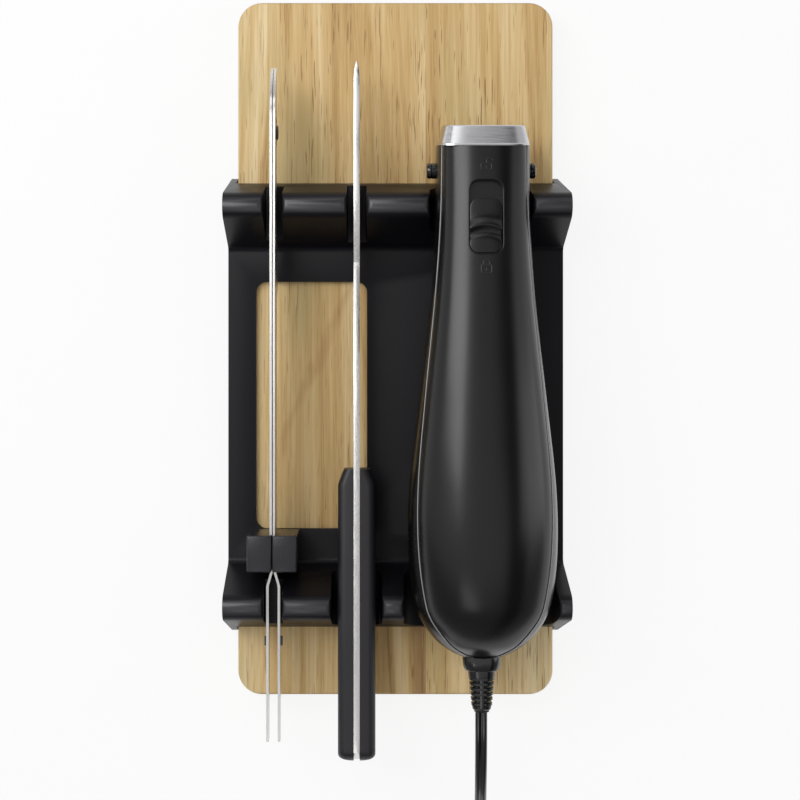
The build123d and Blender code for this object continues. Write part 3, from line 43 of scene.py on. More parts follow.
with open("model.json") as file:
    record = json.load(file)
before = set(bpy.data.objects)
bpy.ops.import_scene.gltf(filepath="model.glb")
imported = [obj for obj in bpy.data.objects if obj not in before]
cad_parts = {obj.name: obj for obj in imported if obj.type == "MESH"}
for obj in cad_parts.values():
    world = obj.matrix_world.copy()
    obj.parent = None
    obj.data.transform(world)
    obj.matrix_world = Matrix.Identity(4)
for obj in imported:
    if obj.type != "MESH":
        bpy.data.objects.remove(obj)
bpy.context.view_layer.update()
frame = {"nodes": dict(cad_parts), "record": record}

MM = 0.001

# Places that the frame gives
TRAY_LOW, TRAY_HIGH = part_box("tray")
TRAY_HIGH.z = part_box("tray_ridges")[1].z
TRAY_Y = (TRAY_LOW.y + TRAY_HIGH.y) / 2
BOARD_LOW, BOARD_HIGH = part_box("cutting_board")
SHELL_LOW, SHELL_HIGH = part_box("lower_housing")
CROWN_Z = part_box("upper_cover")[1].z
KNIFE_X = (SHELL_LOW.x + SHELL_HIGH.x) / 2
COLLAR_LOW, COLLAR_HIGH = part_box("front_collar")
BLADE_LOW, BLADE_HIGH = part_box("knife_blade_left")
GUARD_LOW, GUARD_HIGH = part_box("blade_guard_left")
BLADE_GAP = 0.15 * MM
BLADES_X = GUARD_HIGH.x + BLADE_GAP
FORK_LOW, FORK_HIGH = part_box("fork_steel")
FORK_X = (FORK_LOW.x + FORK_HIGH.x) / 2

# Middle of the lock's recess along the handle, and how far the shell's lip starts below the seam
LOCK_Y = TRAY_Y + 84.2 * MM
LIP_DROP = 0.45 * MM

# Blades: thickness and socket spacing in millimetres, number of scallops, length of the point
BLADE_THICKNESS = 1.15
SOCKET_PITCH = 5.3
SCALLOP_COUNT = 21
POINT_LENGTH = 26 * MM

# Handle: vents, screws and release buttons, from the tray's middle and the handle's middle line
VENT_COUNT = 5
VENT_Y = -52
VENT_PITCH = 6
SCREW_PLACES = ((15.6, 42.0), (-15.6, 42.0), (12.6, -97.0), (-12.6, -97.0))
BUTTON_Y = TRAY_Y + 107.9 * MM
BUTTON_Z = 49.5 * MM

# Length of the nose that is raked back, and how far it goes back for each unit above the middle
NOSE_REACH = 16 * MM
NOSE_RAKE = 0.158

# Housing, as shares of its length and of its largest half width and half height
BODY_SHARES = (
    (0.000, 0.300, 0.300, 0.090),
    (0.010, 0.430, 0.440, 0.072),
    (0.031, 0.620, 0.640, 0.045),
    (0.069, 0.820, 0.830, 0.018),
    (0.108, 0.925, 0.930, 0.006),
    (0.207, 1.000, 0.998, 0.000),
    (0.330, 0.984, 0.972, 0.000),
    (0.502, 0.856, 0.875, 0.000),
    (0.698, 0.703, 0.768, 0.000),
    (0.850, 0.634, 0.714, 0.000),
    (1.000, 0.622, 0.700, 0.000),
)
SEAM_SHARES = (
    (-0.010, 0.150),
    (0.026, 0.410),
    (0.069, 0.548),
    (0.207, 0.587),
    (0.502, 0.460),
    (0.698, 0.394),
    (1.010, 0.435),
)
SQUARENESS_SHARES = (2.3, 3.1)

# Inward reach and rise of the lower shell's lip, in millimetres from where it leaves the outside
LIP_ROWS = (
    (0.08, 0.20),
    (0.26, 0.31),
    (0.55, 0.37),
    (0.85, 0.38),
)


class TraySizes(bpy.types.PropertyGroup):
    ridge_spacing: bpy.props.FloatProperty(
        name="Ridge spacing", description="Distance between the two ridges' crowns",
        default=184.2 * MM, unit="LENGTH")
    nose_radius: bpy.props.FloatProperty(
        name="Nose radius", description="Radius of a ridge's rounded crown",
        default=6.5 * MM, unit="LENGTH")
    outer_lean: bpy.props.FloatProperty(
        name="Outer lean", description="Lean of a ridge's outer flank from upright",
        default=math.radians(14.9), subtype="ANGLE")
    inner_lean: bpy.props.FloatProperty(
        name="Inner lean", description="Lean of a ridge's inner flank from upright",
        default=math.radians(21.6), subtype="ANGLE")
    floor_top: bpy.props.FloatProperty(
        name="Floor top", description="Height of the floor's upper face",
        default=20.8 * MM, unit="LENGTH")
    floor_under: bpy.props.FloatProperty(
        name="Floor underside", description="Height of the floor's lower face",
        default=17.8 * MM, unit="LENGTH")
    lip_top: bpy.props.FloatProperty(
        name="Lip top", description="Height of the lips that hold the board",
        default=4.0 * MM, unit="LENGTH")
    wall: bpy.props.FloatProperty(
        name="Skirt", description="Thickness of the skirts beside the board",
        default=3.5 * MM, unit="LENGTH")
    lip_width: bpy.props.FloatProperty(
        name="Lip width", description="How far a lip reaches under the board",
        default=12.0 * MM, unit="LENGTH")
    window: bpy.props.FloatVectorProperty(
        name="Window", description="Width and length of the floor's window",
        default=(53.0 * MM, 118.0 * MM), size=2, unit="LENGTH")
    edge: bpy.props.FloatProperty(
        name="Edge radius", description="Rounding of the tray's moulded edges",
        default=0.7 * MM, unit="LENGTH")
    black: bpy.props.FloatVectorProperty(
        name="Tray black", description="Colour of the tray's plastic",
        default=(0.0050, 0.0046, 0.0066), size=3, subtype="COLOR", min=0, max=1)
    # Colour of the painted highlight strip along the ridges' crowns
    painted_crown_sheen: bpy.props.FloatVectorProperty(
        name="Worn crown", description="Colour of the plastic where it is rubbed",
        default=(0.034, 0.033, 0.038), size=3, subtype="COLOR", min=0, max=1)


class BoardLook(bpy.types.PropertyGroup):
    corner: bpy.props.FloatProperty(
        name="Corner radius", description="Radius of the board's corners in plan",
        default=11.5 * MM, unit="LENGTH")
    edge: bpy.props.FloatProperty(
        name="Edge radius", description="Rounding of the board's rims",
        default=1.6 * MM, unit="LENGTH")
    stave: bpy.props.FloatProperty(
        name="Stave width", description="Width of one glued stave",
        default=37.8 * MM, unit="LENGTH")
    pale: bpy.props.FloatVectorProperty(
        name="Pale wood", description="Colour of the palest fibres",
        default=(0.830, 0.660, 0.385), size=3, subtype="COLOR", min=0, max=1)
    tan: bpy.props.FloatVectorProperty(
        name="Tan wood", description="Colour of the warm bands",
        default=(0.515, 0.310, 0.112), size=3, subtype="COLOR", min=0, max=1)
    pore: bpy.props.FloatVectorProperty(
        name="Pores", description="Colour of the open pores",
        default=(0.240, 0.120, 0.045), size=3, subtype="COLOR", min=0, max=1)


class KnifeLook(bpy.types.PropertyGroup):
    step: bpy.props.FloatProperty(
        name="Step", description="How far the cover's rim is drawn in from the lower shell",
        default=0.50 * MM, unit="LENGTH")
    step_reach: bpy.props.FloatProperty(
        name="Step reach", description="Height over which the drawn in rim runs out",
        default=2.4 * MM, unit="LENGTH")
    # The bead along the seam is pale grey, a painted highlight line
    bead: bpy.props.FloatProperty(
        name="Bead", description="Width of the polished bead along the seam",
        default=0.52 * MM, unit="LENGTH")
    groove_depth: bpy.props.FloatProperty(
        name="Groove depth", description="Depth of the groove between cover and housing",
        default=1.3 * MM, unit="LENGTH")
    shell: bpy.props.FloatProperty(
        name="Shell", description="Wall thickness of the housing",
        default=2.4 * MM, unit="LENGTH")
    lock_size: bpy.props.FloatVectorProperty(
        name="Lock recess", description="Width, length and corner radius of the lock's recess",
        default=(15.1 * MM, 33.0 * MM, 4.6 * MM), size=3, unit="LENGTH")
    black: bpy.props.FloatVectorProperty(
        name="Housing black", description="Colour of the handle's plastic",
        default=(0.0026, 0.0026, 0.0027), size=3, subtype="COLOR", min=0, max=1)
    collar: bpy.props.FloatVectorProperty(
        name="Collar metal", description="Colour of the brushed collar",
        default=(0.62, 0.62, 0.64), size=3, subtype="COLOR", min=0, max=1)


class SteelLook(bpy.types.PropertyGroup):
    steel: bpy.props.FloatVectorProperty(
        name="Steel", description="Colour of the blades' and the fork's steel",
        default=(0.74, 0.73, 0.71), size=3, subtype="COLOR", min=0, max=1)
    scallop: bpy.props.FloatProperty(
        name="Scallop pitch", description="Distance from one tooth of a blade to the next",
        default=9.0 * MM, unit="LENGTH")
    scallop_depth: bpy.props.FloatProperty(
        name="Scallop depth", description="Depth of a blade's scallops",
        default=1.1 * MM, unit="LENGTH")
    grind: bpy.props.FloatProperty(
        name="Grind", description="Height of the ground edge on a blade's outer face",
        default=5.5 * MM, unit="LENGTH")


class CordLook(bpy.types.PropertyGroup):
    width: bpy.props.FloatProperty(
        name="Cord width", description="Width of the flat two core cord",
        default=5.6 * MM, unit="LENGTH")
    height: bpy.props.FloatProperty(
        name="Cord height", description="Height of the flat two core cord",
        default=3.0 * MM, unit="LENGTH")
    length: bpy.props.FloatProperty(
        name="Cord length", description="Length from the strain relief to the plug",
        default=1.233, unit="LENGTH")
    layer_low: bpy.props.FloatProperty(
        name="Lower layer", description="Height of the coil's lower layer",
        default=1.7 * MM, unit="LENGTH")
    layer_high: bpy.props.FloatProperty(
        name="Upper layer", description="Height of the coil's upper layer",
        default=4.9 * MM, unit="LENGTH")
    black: bpy.props.FloatVectorProperty(
        name="Cord black", description="Colour of the cord, the relief and the plug",
        default=(0.0035, 0.0035, 0.0038), size=3, subtype="COLOR", min=0, max=1)


class StageLook(bpy.types.PropertyGroup):
    floor: bpy.props.FloatVectorProperty(
        name="Floor", description="Colour of the pale floor",
        default=(0.93, 0.93, 0.93), size=3, subtype="COLOR", min=0, max=1)
    sky: bpy.props.FloatProperty(
        name="Sky", description="Strength of the plain light from all round",
        default=0.50, min=0)
    mirror_sky: bpy.props.FloatProperty(
        name="Mirrored sky", description="Strength of what lies overhead in reflections",
        default=0.62, min=0)
    side_sky: bpy.props.FloatProperty(
        name="Mirrored sides", description="Strength of the room's sides in reflections",
        default=0.8, min=0)


def looks(name):
    return getattr(bpy.context.scene, "carving_set_" + name)


# Shader expressions

class Wire:
    """One output of a node tree, so that an expression on it adds nodes"""

    def __init__(self, finish, socket):
        self.finish = finish
        self.socket = socket

    def maths(self, operation, *values):
        return self.finish.node("ShaderNodeMath", {"operation": operation}, dict(enumerate(values)))

    def __add__(self, other):
        return self.maths("ADD", self, other)

    __radd__ = __add__

    def __sub__(self, other):
        return self.maths("SUBTRACT", self, other)

    def __rsub__(self, other):
        return self.maths("SUBTRACT", other, self)

    def __mul__(self, other):
        return self.maths("MULTIPLY", self, other)

    __rmul__ = __mul__

    def __truediv__(self, other):
        return self.maths("DIVIDE", self, other)


class Finish:
    """Material with one Principled shader, fed by numbers, colours or wires"""

    def __init__(self, name):
        self.material = bpy.data.materials.new(name)
        self.material.use_nodes = True
        self.tree = self.material.node_tree
        self.tree.nodes.clear()

    def node(self, kind, settings=None, sockets=None, output=0):
        """Adds a node: its settings are set first, then its sockets are given values or links"""
        made = self.tree.nodes.new(kind)
        for name, value in (settings or {}).items():
            if name == "stops":
                self.set_stops(made.color_ramp, value)
            else:
                setattr(made, name, value)
        for key, value in (sockets or {}).items():
            self.feed(made.inputs[key], value)
        return Wire(self, made.outputs[output]) if made.outputs else made

    def set_stops(self, ramp, stops):
        while len(ramp.elements) < len(stops):
            ramp.elements.new(1.0)
        for element, (place, colour) in zip(ramp.elements, stops):
            element.position = place
            element.color = (*colour, 1.0)

    def feed(self, socket, value):
        if isinstance(value, Wire):
            self.tree.links.new(value.socket, socket)
        elif socket.type == "RGBA":
            socket.default_value = (*tuple(value)[:3], 1.0)
        else:
            socket.default_value = value

    def place(self):
        return self.node("ShaderNodeTexCoord", output="Object")

    def axes(self, point):
        split = self.node("ShaderNodeSeparateXYZ", None, {0: point}).socket.node
        return [Wire(self, output) for output in split.outputs]

    def stretch(self, point, scale, shift=(0, 0, 0)):
        return self.node("ShaderNodeVectorMath", {"operation": "MULTIPLY_ADD"},
                         {0: point, 1: scale, 2: shift})

    def noise(self, point, scale=1.0, detail=3.0, roughness=0.55, distortion=0.0):
        return self.node("ShaderNodeTexNoise", None, {
            "Vector": point, "Scale": scale, "Detail": detail,
            "Roughness": roughness, "Distortion": distortion})

    def ramp(self, value, low, high, to_low=0.0, to_high=1.0):
        return self.node("ShaderNodeMapRange", {"interpolation_type": "SMOOTHSTEP"}, {
            0: value, 1: low, 2: high, 3: to_low, 4: to_high})

    def mix(self, share, first, second):
        return self.node("ShaderNodeMix", {"data_type": "RGBA"},
                         {0: share, 6: first, 7: second}, output=2)

    def bump(self, height, strength, distance):
        return self.node("ShaderNodeBump", None, {
            "Height": height, "Strength": strength, "Distance": distance})

    def close(self, **sockets):
        named = {name.replace("_", " "): value for name, value in sockets.items()}
        shader = self.node("ShaderNodeBsdfPrincipled", None, named)
        self.node("ShaderNodeOutputMaterial", None, {0: shader})
        return self.material


# Finishes

def board_wood(look):
    """Pale glued staves with bands, fine fibres and short open pores along the board, made paler
    towards its right side as painted light
    """
    finish = Finish("board_wood")
    point = finish.place()
    x, y, _ = finish.axes(point)
    drift = finish.noise(finish.stretch(point, (9.0, 2.2, 9.0)), detail=2.0)
    stave = (x - TRAY_LOW.x + look.stave / 2) / look.stave
    number = stave.maths("FLOOR", stave)
    seat = finish.node("ShaderNodeTexWhiteNoise", {"noise_dimensions": "1D"}, {"W": number + 4.0})
    seat_two = finish.node("ShaderNodeTexWhiteNoise", {"noise_dimensions": "1D"},
                           {"W": number + 11.0})
    apart = finish.node("ShaderNodeCombineXYZ", None, {0: seat * 3.0, 1: seat_two * 9.0, 2: number})
    own = finish.node("ShaderNodeVectorMath", {"operation": "ADD"}, {0: point, 1: apart})
    lean = x + y * (seat - 0.5) * 0.16 + drift * 0.012
    bands = finish.node("ShaderNodeCombineXYZ", None,
                        {0: lean * 95.0, 1: y * 2.4 + seat * 40.0, 2: number})
    band = finish.noise(bands, scale=1.0, detail=4.0, roughness=0.6, distortion=0.35)
    streaks = finish.noise(finish.stretch(own, (620.0, 9.0, 60.0)), detail=3.0, roughness=0.6)
    fibres = finish.noise(finish.stretch(own, (2400.0, 34.0, 300.0)), detail=2.0, roughness=0.7)
    pores = finish.noise(finish.stretch(own, (1500.0, 60.0, 200.0)), detail=1.0, roughness=0.4)
    cloud = finish.noise(finish.stretch(point, (14.0, 9.0, 14.0)), detail=2.0)
    pore_mask = finish.ramp(pores, 0.640, 0.710) * finish.ramp(cloud, 0.35, 0.7, 0.35, 1.0)
    # Painted light: past x of 25 to 60 mm the tone is shifted paler, so the board's right side is
    # lighter
    tone = finish.node("ShaderNodeValToRGB", {"stops": (
        (0.12, look.pale), (0.34, (0.735, 0.530, 0.262)),
        (0.52, (0.625, 0.412, 0.168)), (0.68, look.tan), (0.86, (0.300, 0.160, 0.055)))},
        {0: (band - 0.5) * 1.9 + seat * 0.14 + streaks * 0.16 + 0.32
         - finish.ramp(x, 0.025, 0.060) * 0.16})
    olive = finish.ramp(finish.noise(finish.stretch(own, (26.0, 6.0, 20.0)), detail=2.0), 0.50,
                        0.70)
    tone = finish.mix(olive * 0.50, tone, (0.440, 0.370, 0.165))
    tone = finish.mix(finish.ramp(streaks, 0.44, 0.68) * 0.42, tone, look.tan)
    tone = finish.mix(finish.ramp(fibres, 0.30, 0.70) * 0.22, tone, (0.90, 0.76, 0.47))
    joint = stave - number
    glue = finish.ramp(joint.maths("ABSOLUTE", joint - 0.5), 0.488, 0.499)
    tone = finish.mix(glue * 0.12, tone, look.pore)
    wander = finish.noise(finish.stretch(point, (60.0, 34.0, 60.0)), detail=2.0)
    vein = x - y * 0.46 + 0.040 + (wander - 0.5) * 0.016
    along = finish.ramp(y, -0.052, -0.030) * finish.ramp(y, 0.030, 0.060, 1.0, 0.0)
    vein_mask = finish.ramp(vein.maths("ABSOLUTE", vein), 0.0, 4.2 * MM, 1.0, 0.0) * along
    tone = finish.mix(vein_mask * (0.12 + streaks * 0.36), tone, (0.400, 0.205, 0.075))
    tone = finish.mix(pore_mask * 0.80, tone, look.pore)
    end_grain = finish.ramp(y.maths("ABSOLUTE", y - (BOARD_LOW.y + BOARD_HIGH.y) / 2),
                            (BOARD_HIGH.y - BOARD_LOW.y) / 2 - 1.2 * MM,
                            (BOARD_HIGH.y - BOARD_LOW.y) / 2 - 0.2 * MM)
    tone = finish.mix(end_grain * 0.45, tone, (0.36, 0.235, 0.115))
    height = fibres * 0.35 + streaks * 0.4 - pore_mask * 1.2
    return finish.close(Base_Color=tone, Roughness=finish.ramp(fibres, 0.3, 0.7, 0.52, 0.66),
                        Specular_IOR_Level=0.18, Normal=finish.bump(height, 0.35, 0.10 * MM))


def moulded(name, colour, smooth, rough, grain, depth, coat=0.0):
    """Moulded plastic with a fine grain, and slow changes of shade and gloss"""
    finish = Finish(name)
    point = finish.place()
    cloud = finish.noise(finish.stretch(point, (22.0, 22.0, 22.0)), detail=3.0)
    grains = finish.noise(point, scale=1.0 / grain, detail=2.0, roughness=0.6)
    dust = finish.noise(finish.stretch(point, (900.0, 900.0, 900.0)), detail=4.0, roughness=0.75)
    shade = finish.mix(finish.ramp(cloud, 0.3, 0.7), colour, [min(1.0, c * 1.18) for c in colour])
    shade = finish.mix(finish.ramp(dust, 0.62, 0.80) * 0.10, shade,
                       [min(1.0, c * 2.6 + 0.004) for c in colour])
    gloss = finish.ramp(cloud * 0.5 + dust * 0.5, 0.32, 0.68, smooth, rough)
    return finish.close(Base_Color=shade, Roughness=gloss, Coat_Weight=coat, Coat_Roughness=0.12,
                        Specular_IOR_Level=0.5,
                        Normal=finish.bump(grains, 0.28, depth))


def painted_highlight_tray(look):
    """Satin tray plastic, painted paler along the ridges' crowns as a highlight, and also smoother
    and coated there
    """
    finish = Finish("tray_plastic")
    point = finish.place()
    z = finish.axes(point)[2]
    cloud = finish.noise(finish.stretch(point, (22.0, 22.0, 22.0)), detail=3.0)
    grains = finish.noise(point, scale=1.0 / (0.45 * MM), detail=2.0, roughness=0.6)
    dust = finish.noise(finish.stretch(point, (900.0, 900.0, 900.0)), detail=4.0, roughness=0.75)
    colour = tuple(look.black)
    shade = finish.mix(finish.ramp(cloud, 0.3, 0.7), colour, [c * 1.2 for c in colour])
    shade = finish.mix(finish.ramp(dust, 0.62, 0.80) * 0.10, shade,
                       [c * 2.6 + 0.004 for c in colour])
    # Painted highlight: the top 1.5 mm of the crowns get a paler base colour in place of a lamp's
    # highlight; the same mask adds coat and lowers roughness
    painted_crown_sheen = finish.ramp(z + (cloud - 0.5) * 0.3 * MM, TRAY_HIGH.z - 1.5 * MM, TRAY_HIGH.z - 0.1 * MM)
    painted_crown_sheen = painted_crown_sheen * (0.80 + dust * 0.4)
    shade = finish.mix(painted_crown_sheen, shade, tuple(look.painted_crown_sheen))
    gloss = finish.ramp(cloud * 0.5 + dust * 0.5, 0.32, 0.68, 0.36, 0.44) - painted_crown_sheen * 0.06
    return finish.close(Base_Color=shade, Roughness=gloss, Specular_IOR_Level=0.20,
                        Coat_Weight=painted_crown_sheen * 0.7, Coat_Roughness=0.28,
                        Normal=finish.bump(grains, 0.28, 0.03 * MM))


def brushed(name, colour, smooth, rough, scratch, depth=0.02 * MM):
    """Brushed metal, scratched along the axis whose number in scratch is smallest"""
    finish = Finish(name)
    point = finish.place()
    lines = finish.noise(finish.stretch(point, scratch), detail=4.0, roughness=0.7)
    cloud = finish.noise(finish.stretch(point, (30.0, 30.0, 30.0)), detail=2.0)
    shade = finish.mix(finish.ramp(lines, 0.30, 0.70), [c * 0.90 for c in colour],
                       [min(1.0, c * 1.08) for c in colour])
    gloss = finish.ramp(lines * 0.7 + cloud * 0.3, 0.35, 0.65, smooth, rough)
    return finish.close(Base_Color=shade, Roughness=gloss, Metallic=1.0,
                        Normal=finish.bump(lines, 0.22, depth))


def banded(name, dark, light, pitch, axis, metallic, rough):
    """Fine bands across one axis, for laminations, wound wire and copper bars"""
    finish = Finish(name)
    parts = finish.axes(finish.place())
    turn = parts[axis] * (math.tau / pitch)
    wave = turn.maths("SINE", turn) * 0.5 + 0.5
    speck = finish.noise(finish.place(), scale=700.0, detail=3.0)
    shade = finish.mix(finish.ramp(wave * 0.8 + speck * 0.2, 0.15, 0.75), dark, light)
    return finish.close(Base_Color=shade, Roughness=rough + speck * 0.12, Metallic=metallic,
                        Normal=finish.bump(wave, 0.5, pitch * 0.25))


def circuit_laminate():
    finish = Finish("circuit_laminate")
    point = finish.place()
    cells = finish.node("ShaderNodeTexVoronoi", {"feature": "DISTANCE_TO_EDGE"},
                        {"Vector": point, "Scale": 260.0})
    tracks = finish.ramp(cells, 0.02, 0.05)
    shade = finish.mix(tracks, (0.10, 0.36, 0.17), (0.03, 0.17, 0.07))
    return finish.close(Base_Color=shade, Roughness=0.34 + tracks * 0.1,
                        Normal=finish.bump(tracks, 0.3, 0.04 * MM))


# Mesh making

# Least angle between two faces, in degrees, that counts as an edge
EDGE_ANGLE = 35


def mesh_piece(name, points, faces, finish, sharp=EDGE_ANGLE):
    """Object made from points and faces, smooth but for its sharp edges"""
    mesh = bpy.data.meshes.new(name)
    mesh.from_pydata([tuple(p) for p in points], [], faces)
    work = bmesh.new()
    work.from_mesh(mesh)
    bmesh.ops.remove_doubles(work, verts=work.verts, dist=1e-7)
    bmesh.ops.dissolve_degenerate(work, edges=work.edges, dist=1e-7)
    bmesh.ops.recalc_face_normals(work, faces=work.faces)
    work.to_mesh(mesh)
    work.free()
    made = bpy.data.objects.new(name, mesh)
    bpy.context.scene.collection.objects.link(made)
    if finish:
        mesh.materials.append(finish)
    shade(made, sharp)
    return made


def shade(piece, sharp):
    for polygon in piece.data.polygons:
        polygon.use_smooth = True
    piece.data.set_sharp_from_angle(angle=math.radians(sharp))


def paint(piece, finish):
    piece.data.materials.clear()
    piece.data.materials.append(finish)


def settle(piece):
    """Applies a piece's modifiers to its mesh"""
    bpy.context.view_layer.update()
    graph = bpy.context.evaluated_depsgraph_get()
    mesh = bpy.data.meshes.new_from_object(piece.evaluated_get(graph))
    piece.modifiers.clear()
    old = piece.data
    piece.data = mesh
    bpy.data.meshes.remove(old)


def combine(piece, other, operation):
    modifier = piece.modifiers.new(operation, "BOOLEAN")
    modifier.operation = operation
    modifier.solver = "EXACT"
    modifier.object = other
    settle(piece)
    bpy.data.objects.remove(other)


def round_edges(piece, width, segments=3):
    modifier = piece.modifiers.new("edges", "BEVEL")
    modifier.width = width
    modifier.segments = segments
    modifier.limit_method = "ANGLE"
    modifier.angle_limit = math.radians(EDGE_ANGLE)
    modifier.use_clamp_overlap = True
    modifier.harden_normals = False
    modifier.miter_outer = "MITER_ARC"
    settle(piece)
    shade(piece, EDGE_ANGLE)


def place_on(piece, body, slot, *nodes):
    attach(piece, body)
    if nodes:
        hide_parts(*nodes)
    return piece


def skin(rings, capped=True):
    """Points and faces of a surface through rings that have equally many points"""
    points = [point for ring in rings for point in ring]
    count = len(rings[0])
    faces = []
    for row in range(len(rings) - 1):
        for column in range(count):
            a = row * count + column
            b = row * count + (column + 1) % count
            faces.append((a, b, b + count, a + count))
    if capped:
        faces.append(tuple(range(count)))
        start = (len(rings) - 1) * count
        faces.append(tuple(range(start, start + count)))
    return points, faces


def closed_skin(rings):
    """Surface whose last ring is joined to its first"""
    points, faces = skin(rings, capped=False)
    count = len(rings[0])
    last = (len(rings) - 1) * count
    for column in range(count):
        following = (column + 1) % count
        faces.append((last + column, last + following, following, column))
    return points, faces


def gather(parts):
    """One list of points and one of faces from several"""
    points = []
    faces = []
    for own_points, own_faces in parts:
        start = len(points)
        points += own_points
        faces += [tuple(index + start for index in face) for face in own_faces]
    return points, faces


def arc(x, y, radius, begin, end, steps, first=0):
    """Points round a centre, between two angles in degrees"""
    points = []
    for step in range(first, steps + 1):
        turn = math.radians(begin + (end - begin) * step / steps)
        points.append((x + radius * math.cos(turn), y + radius * math.sin(turn)))
    return points


def rounded_outline(width, height, radius, steps=6):
    """Points of a rectangle with rounded corners, about its middle"""
    outline = []
    corners = ((1, 1, 0), (-1, 1, 90), (-1, -1, 180), (1, -1, 270))
    for side_x, side_y, begin in corners:
        outline += arc(side_x * (width / 2 - radius), side_y * (height / 2 - radius), radius,
                       begin, begin + 90, steps)
    return outline


def prism(outline, axis, low, high):
    """Solid of an outline, between two places along an axis given by its number"""
    rings = []
    for place in (low, high):
        ring = []
        for first, second in outline:
            point = [first, second]
            point.insert(axis, place)
            ring.append(tuple(point))
        rings.append(ring)
    return skin(rings)


def box_part(low, high):
    outline = [(low[0], low[1]), (high[0], low[1]), (high[0], high[1]), (low[0], high[1])]
    return prism(outline, 2, low[2], high[2])


def circle(radius, steps, centre=(0, 0)):
    return [(centre[0] + radius * math.cos(math.tau * step / steps),
             centre[1] + radius * math.sin(math.tau * step / steps)) for step in range(steps)]


def turned(profile, origin, along, steps=40):
    """Solid of revolution from (place along the axis, radius) pairs"""
    along = Vector(along)
    side = along.orthogonal().normalized()
    other = along.cross(side)
    rings = []
    for place, radius in profile:
        ring = []
        for step in range(steps):
            turn = math.tau * step / steps
            ring.append(Vector(origin) + along * place
                        + (side * math.cos(turn) + other * math.sin(turn)) * radius)
        rings.append(ring)
    return skin(rings)


def smooth_share(rows, share, column):
    """Value of a table's column, on a smooth curve through its rows"""
    index = 0
    while index < len(rows) - 2 and share > rows[index + 1][0]:
        index += 1

    def slope(at):
        low = max(at - 1, 0)
        high = min(at + 1, len(rows) - 1)
        return (rows[high][column] - rows[low][column]) / (rows[high][0] - rows[low][0])

    x0, x1 = rows[index][0], rows[index + 1][0]
    y0, y1 = rows[index][column], rows[index + 1][column]
    run = x1 - x0
    t = min(max((share - x0) / run, 0.0), 1.0)
    return ((2 * t ** 3 - 3 * t ** 2 + 1) * y0 + (t ** 3 - 2 * t ** 2 + t) * run * slope(index)
            + (3 * t ** 2 - 2 * t ** 3) * y1 + (t ** 3 - t ** 2) * run * slope(index + 1))


# Tray and board

def ridge_profile(sizes, end):
    """Outline of one ridge from its outer foot over the nose to its soft inner foot"""
    ridge_y = sizes.ridge_spacing / 2
    radius = sizes.nose_radius
    nose_z = TRAY_HIGH.z - radius
    outline = []
    outer_top = nose_z + radius * math.sin(sizes.outer_lean)
    spread = (outer_top - TRAY_LOW.z) * math.tan(sizes.outer_lean)
    foot = ridge_y + radius * math.cos(sizes.outer_lean) + spread
    outline.append((foot, TRAY_LOW.z))
    start = sizes.outer_lean
    finish = math.pi - sizes.inner_lean
    for step in range(21):
        turn = start + (finish - start) * step / 20
        outline.append((ridge_y + radius * math.cos(turn), nose_z + radius * math.sin(turn)))
    inner_top = nose_z + radius * math.sin(sizes.inner_lean)
    inner_y = ridge_y - radius * math.cos(sizes.inner_lean)
    foot_y = inner_y - (inner_top - sizes.floor_top) * math.tan(sizes.inner_lean)
    bend = 3.2 * MM
    for step in range(7):
        turn = (math.pi / 2 - sizes.inner_lean) * step / 6
        reach = bend * math.tan((math.pi / 2 - sizes.inner_lean) / 2)
        centre = (foot_y - reach, sizes.floor_top + bend)
        lean = math.pi / 2 - sizes.inner_lean - turn
        outline.append((centre[0] + bend * math.sin(lean), centre[1] - bend * math.cos(lean)))
    return [(TRAY_Y + end * y, z) for y, z in outline]


def notch_outline(middle, half, bottom, radius, flare):
    """Slot open at the crown, with a rounded bottom and flared lips"""
    crown = TRAY_HIGH.z
    right = arc(half - radius, bottom + radius, radius, -90, 0, 8)
    right += arc(half + flare, crown - flare, flare, 180, 90, 8, first=1)
    right.append((half + flare, crown + 4 * MM))
    return [(middle + x, z) for x, z in right] + [(middle - x, z) for x, z in reversed(right)]


def storage_tray():
    """Floor over the board, two ridges with their notches, skirts and lips, as one moulding"""
    sizes = looks("tray")
    front = ridge_profile(sizes, 1)
    rear = ridge_profile(sizes, -1)
    outline = front + list(reversed(rear))
    points, faces = prism(outline, 0, TRAY_LOW.x, TRAY_HIGH.x)
    tray = mesh_piece("storage_tray", points, faces, finishes["tray"])
    inner = TRAY_HIGH.x - sizes.wall
    throat = inner - sizes.lip_width
    low_y = TRAY_LOW.y - 9 * MM
    high_y = TRAY_HIGH.y + 9 * MM
    bay = box_part((-inner, low_y, sizes.lip_top), (inner, high_y, sizes.floor_under))
    combine(tray, mesh_piece("cut", *bay, None), "DIFFERENCE")
    slot = box_part((-throat, low_y, TRAY_LOW.z - 5 * MM), (throat, high_y, sizes.lip_top + 2 * MM))
    combine(tray, mesh_piece("cut", *slot, None), "DIFFERENCE")
    cuts = []
    reach = 34 * MM
    for middle, half, bottom, radius, flare, end in NOTCHES:
        ridge = TRAY_Y + end * sizes.ridge_spacing / 2
        cuts.append(prism(notch_outline(middle, half, bottom, radius, flare), 1, ridge - reach,
                          ridge + reach))
    window = [(x + WINDOW_X, y + TRAY_Y)
              for x, y in rounded_outline(sizes.window[0], sizes.window[1], 5 * MM)]
    cuts.append(prism(window, 2, sizes.floor_under - 4 * MM, sizes.floor_top + 4 * MM))
    combine(tray, mesh_piece("cut", *gather(cuts), None), "DIFFERENCE")
    round_edges(tray, sizes.edge)
    place_on(tray, "tray", "tray_plastic", "tray", "tray_ridges")


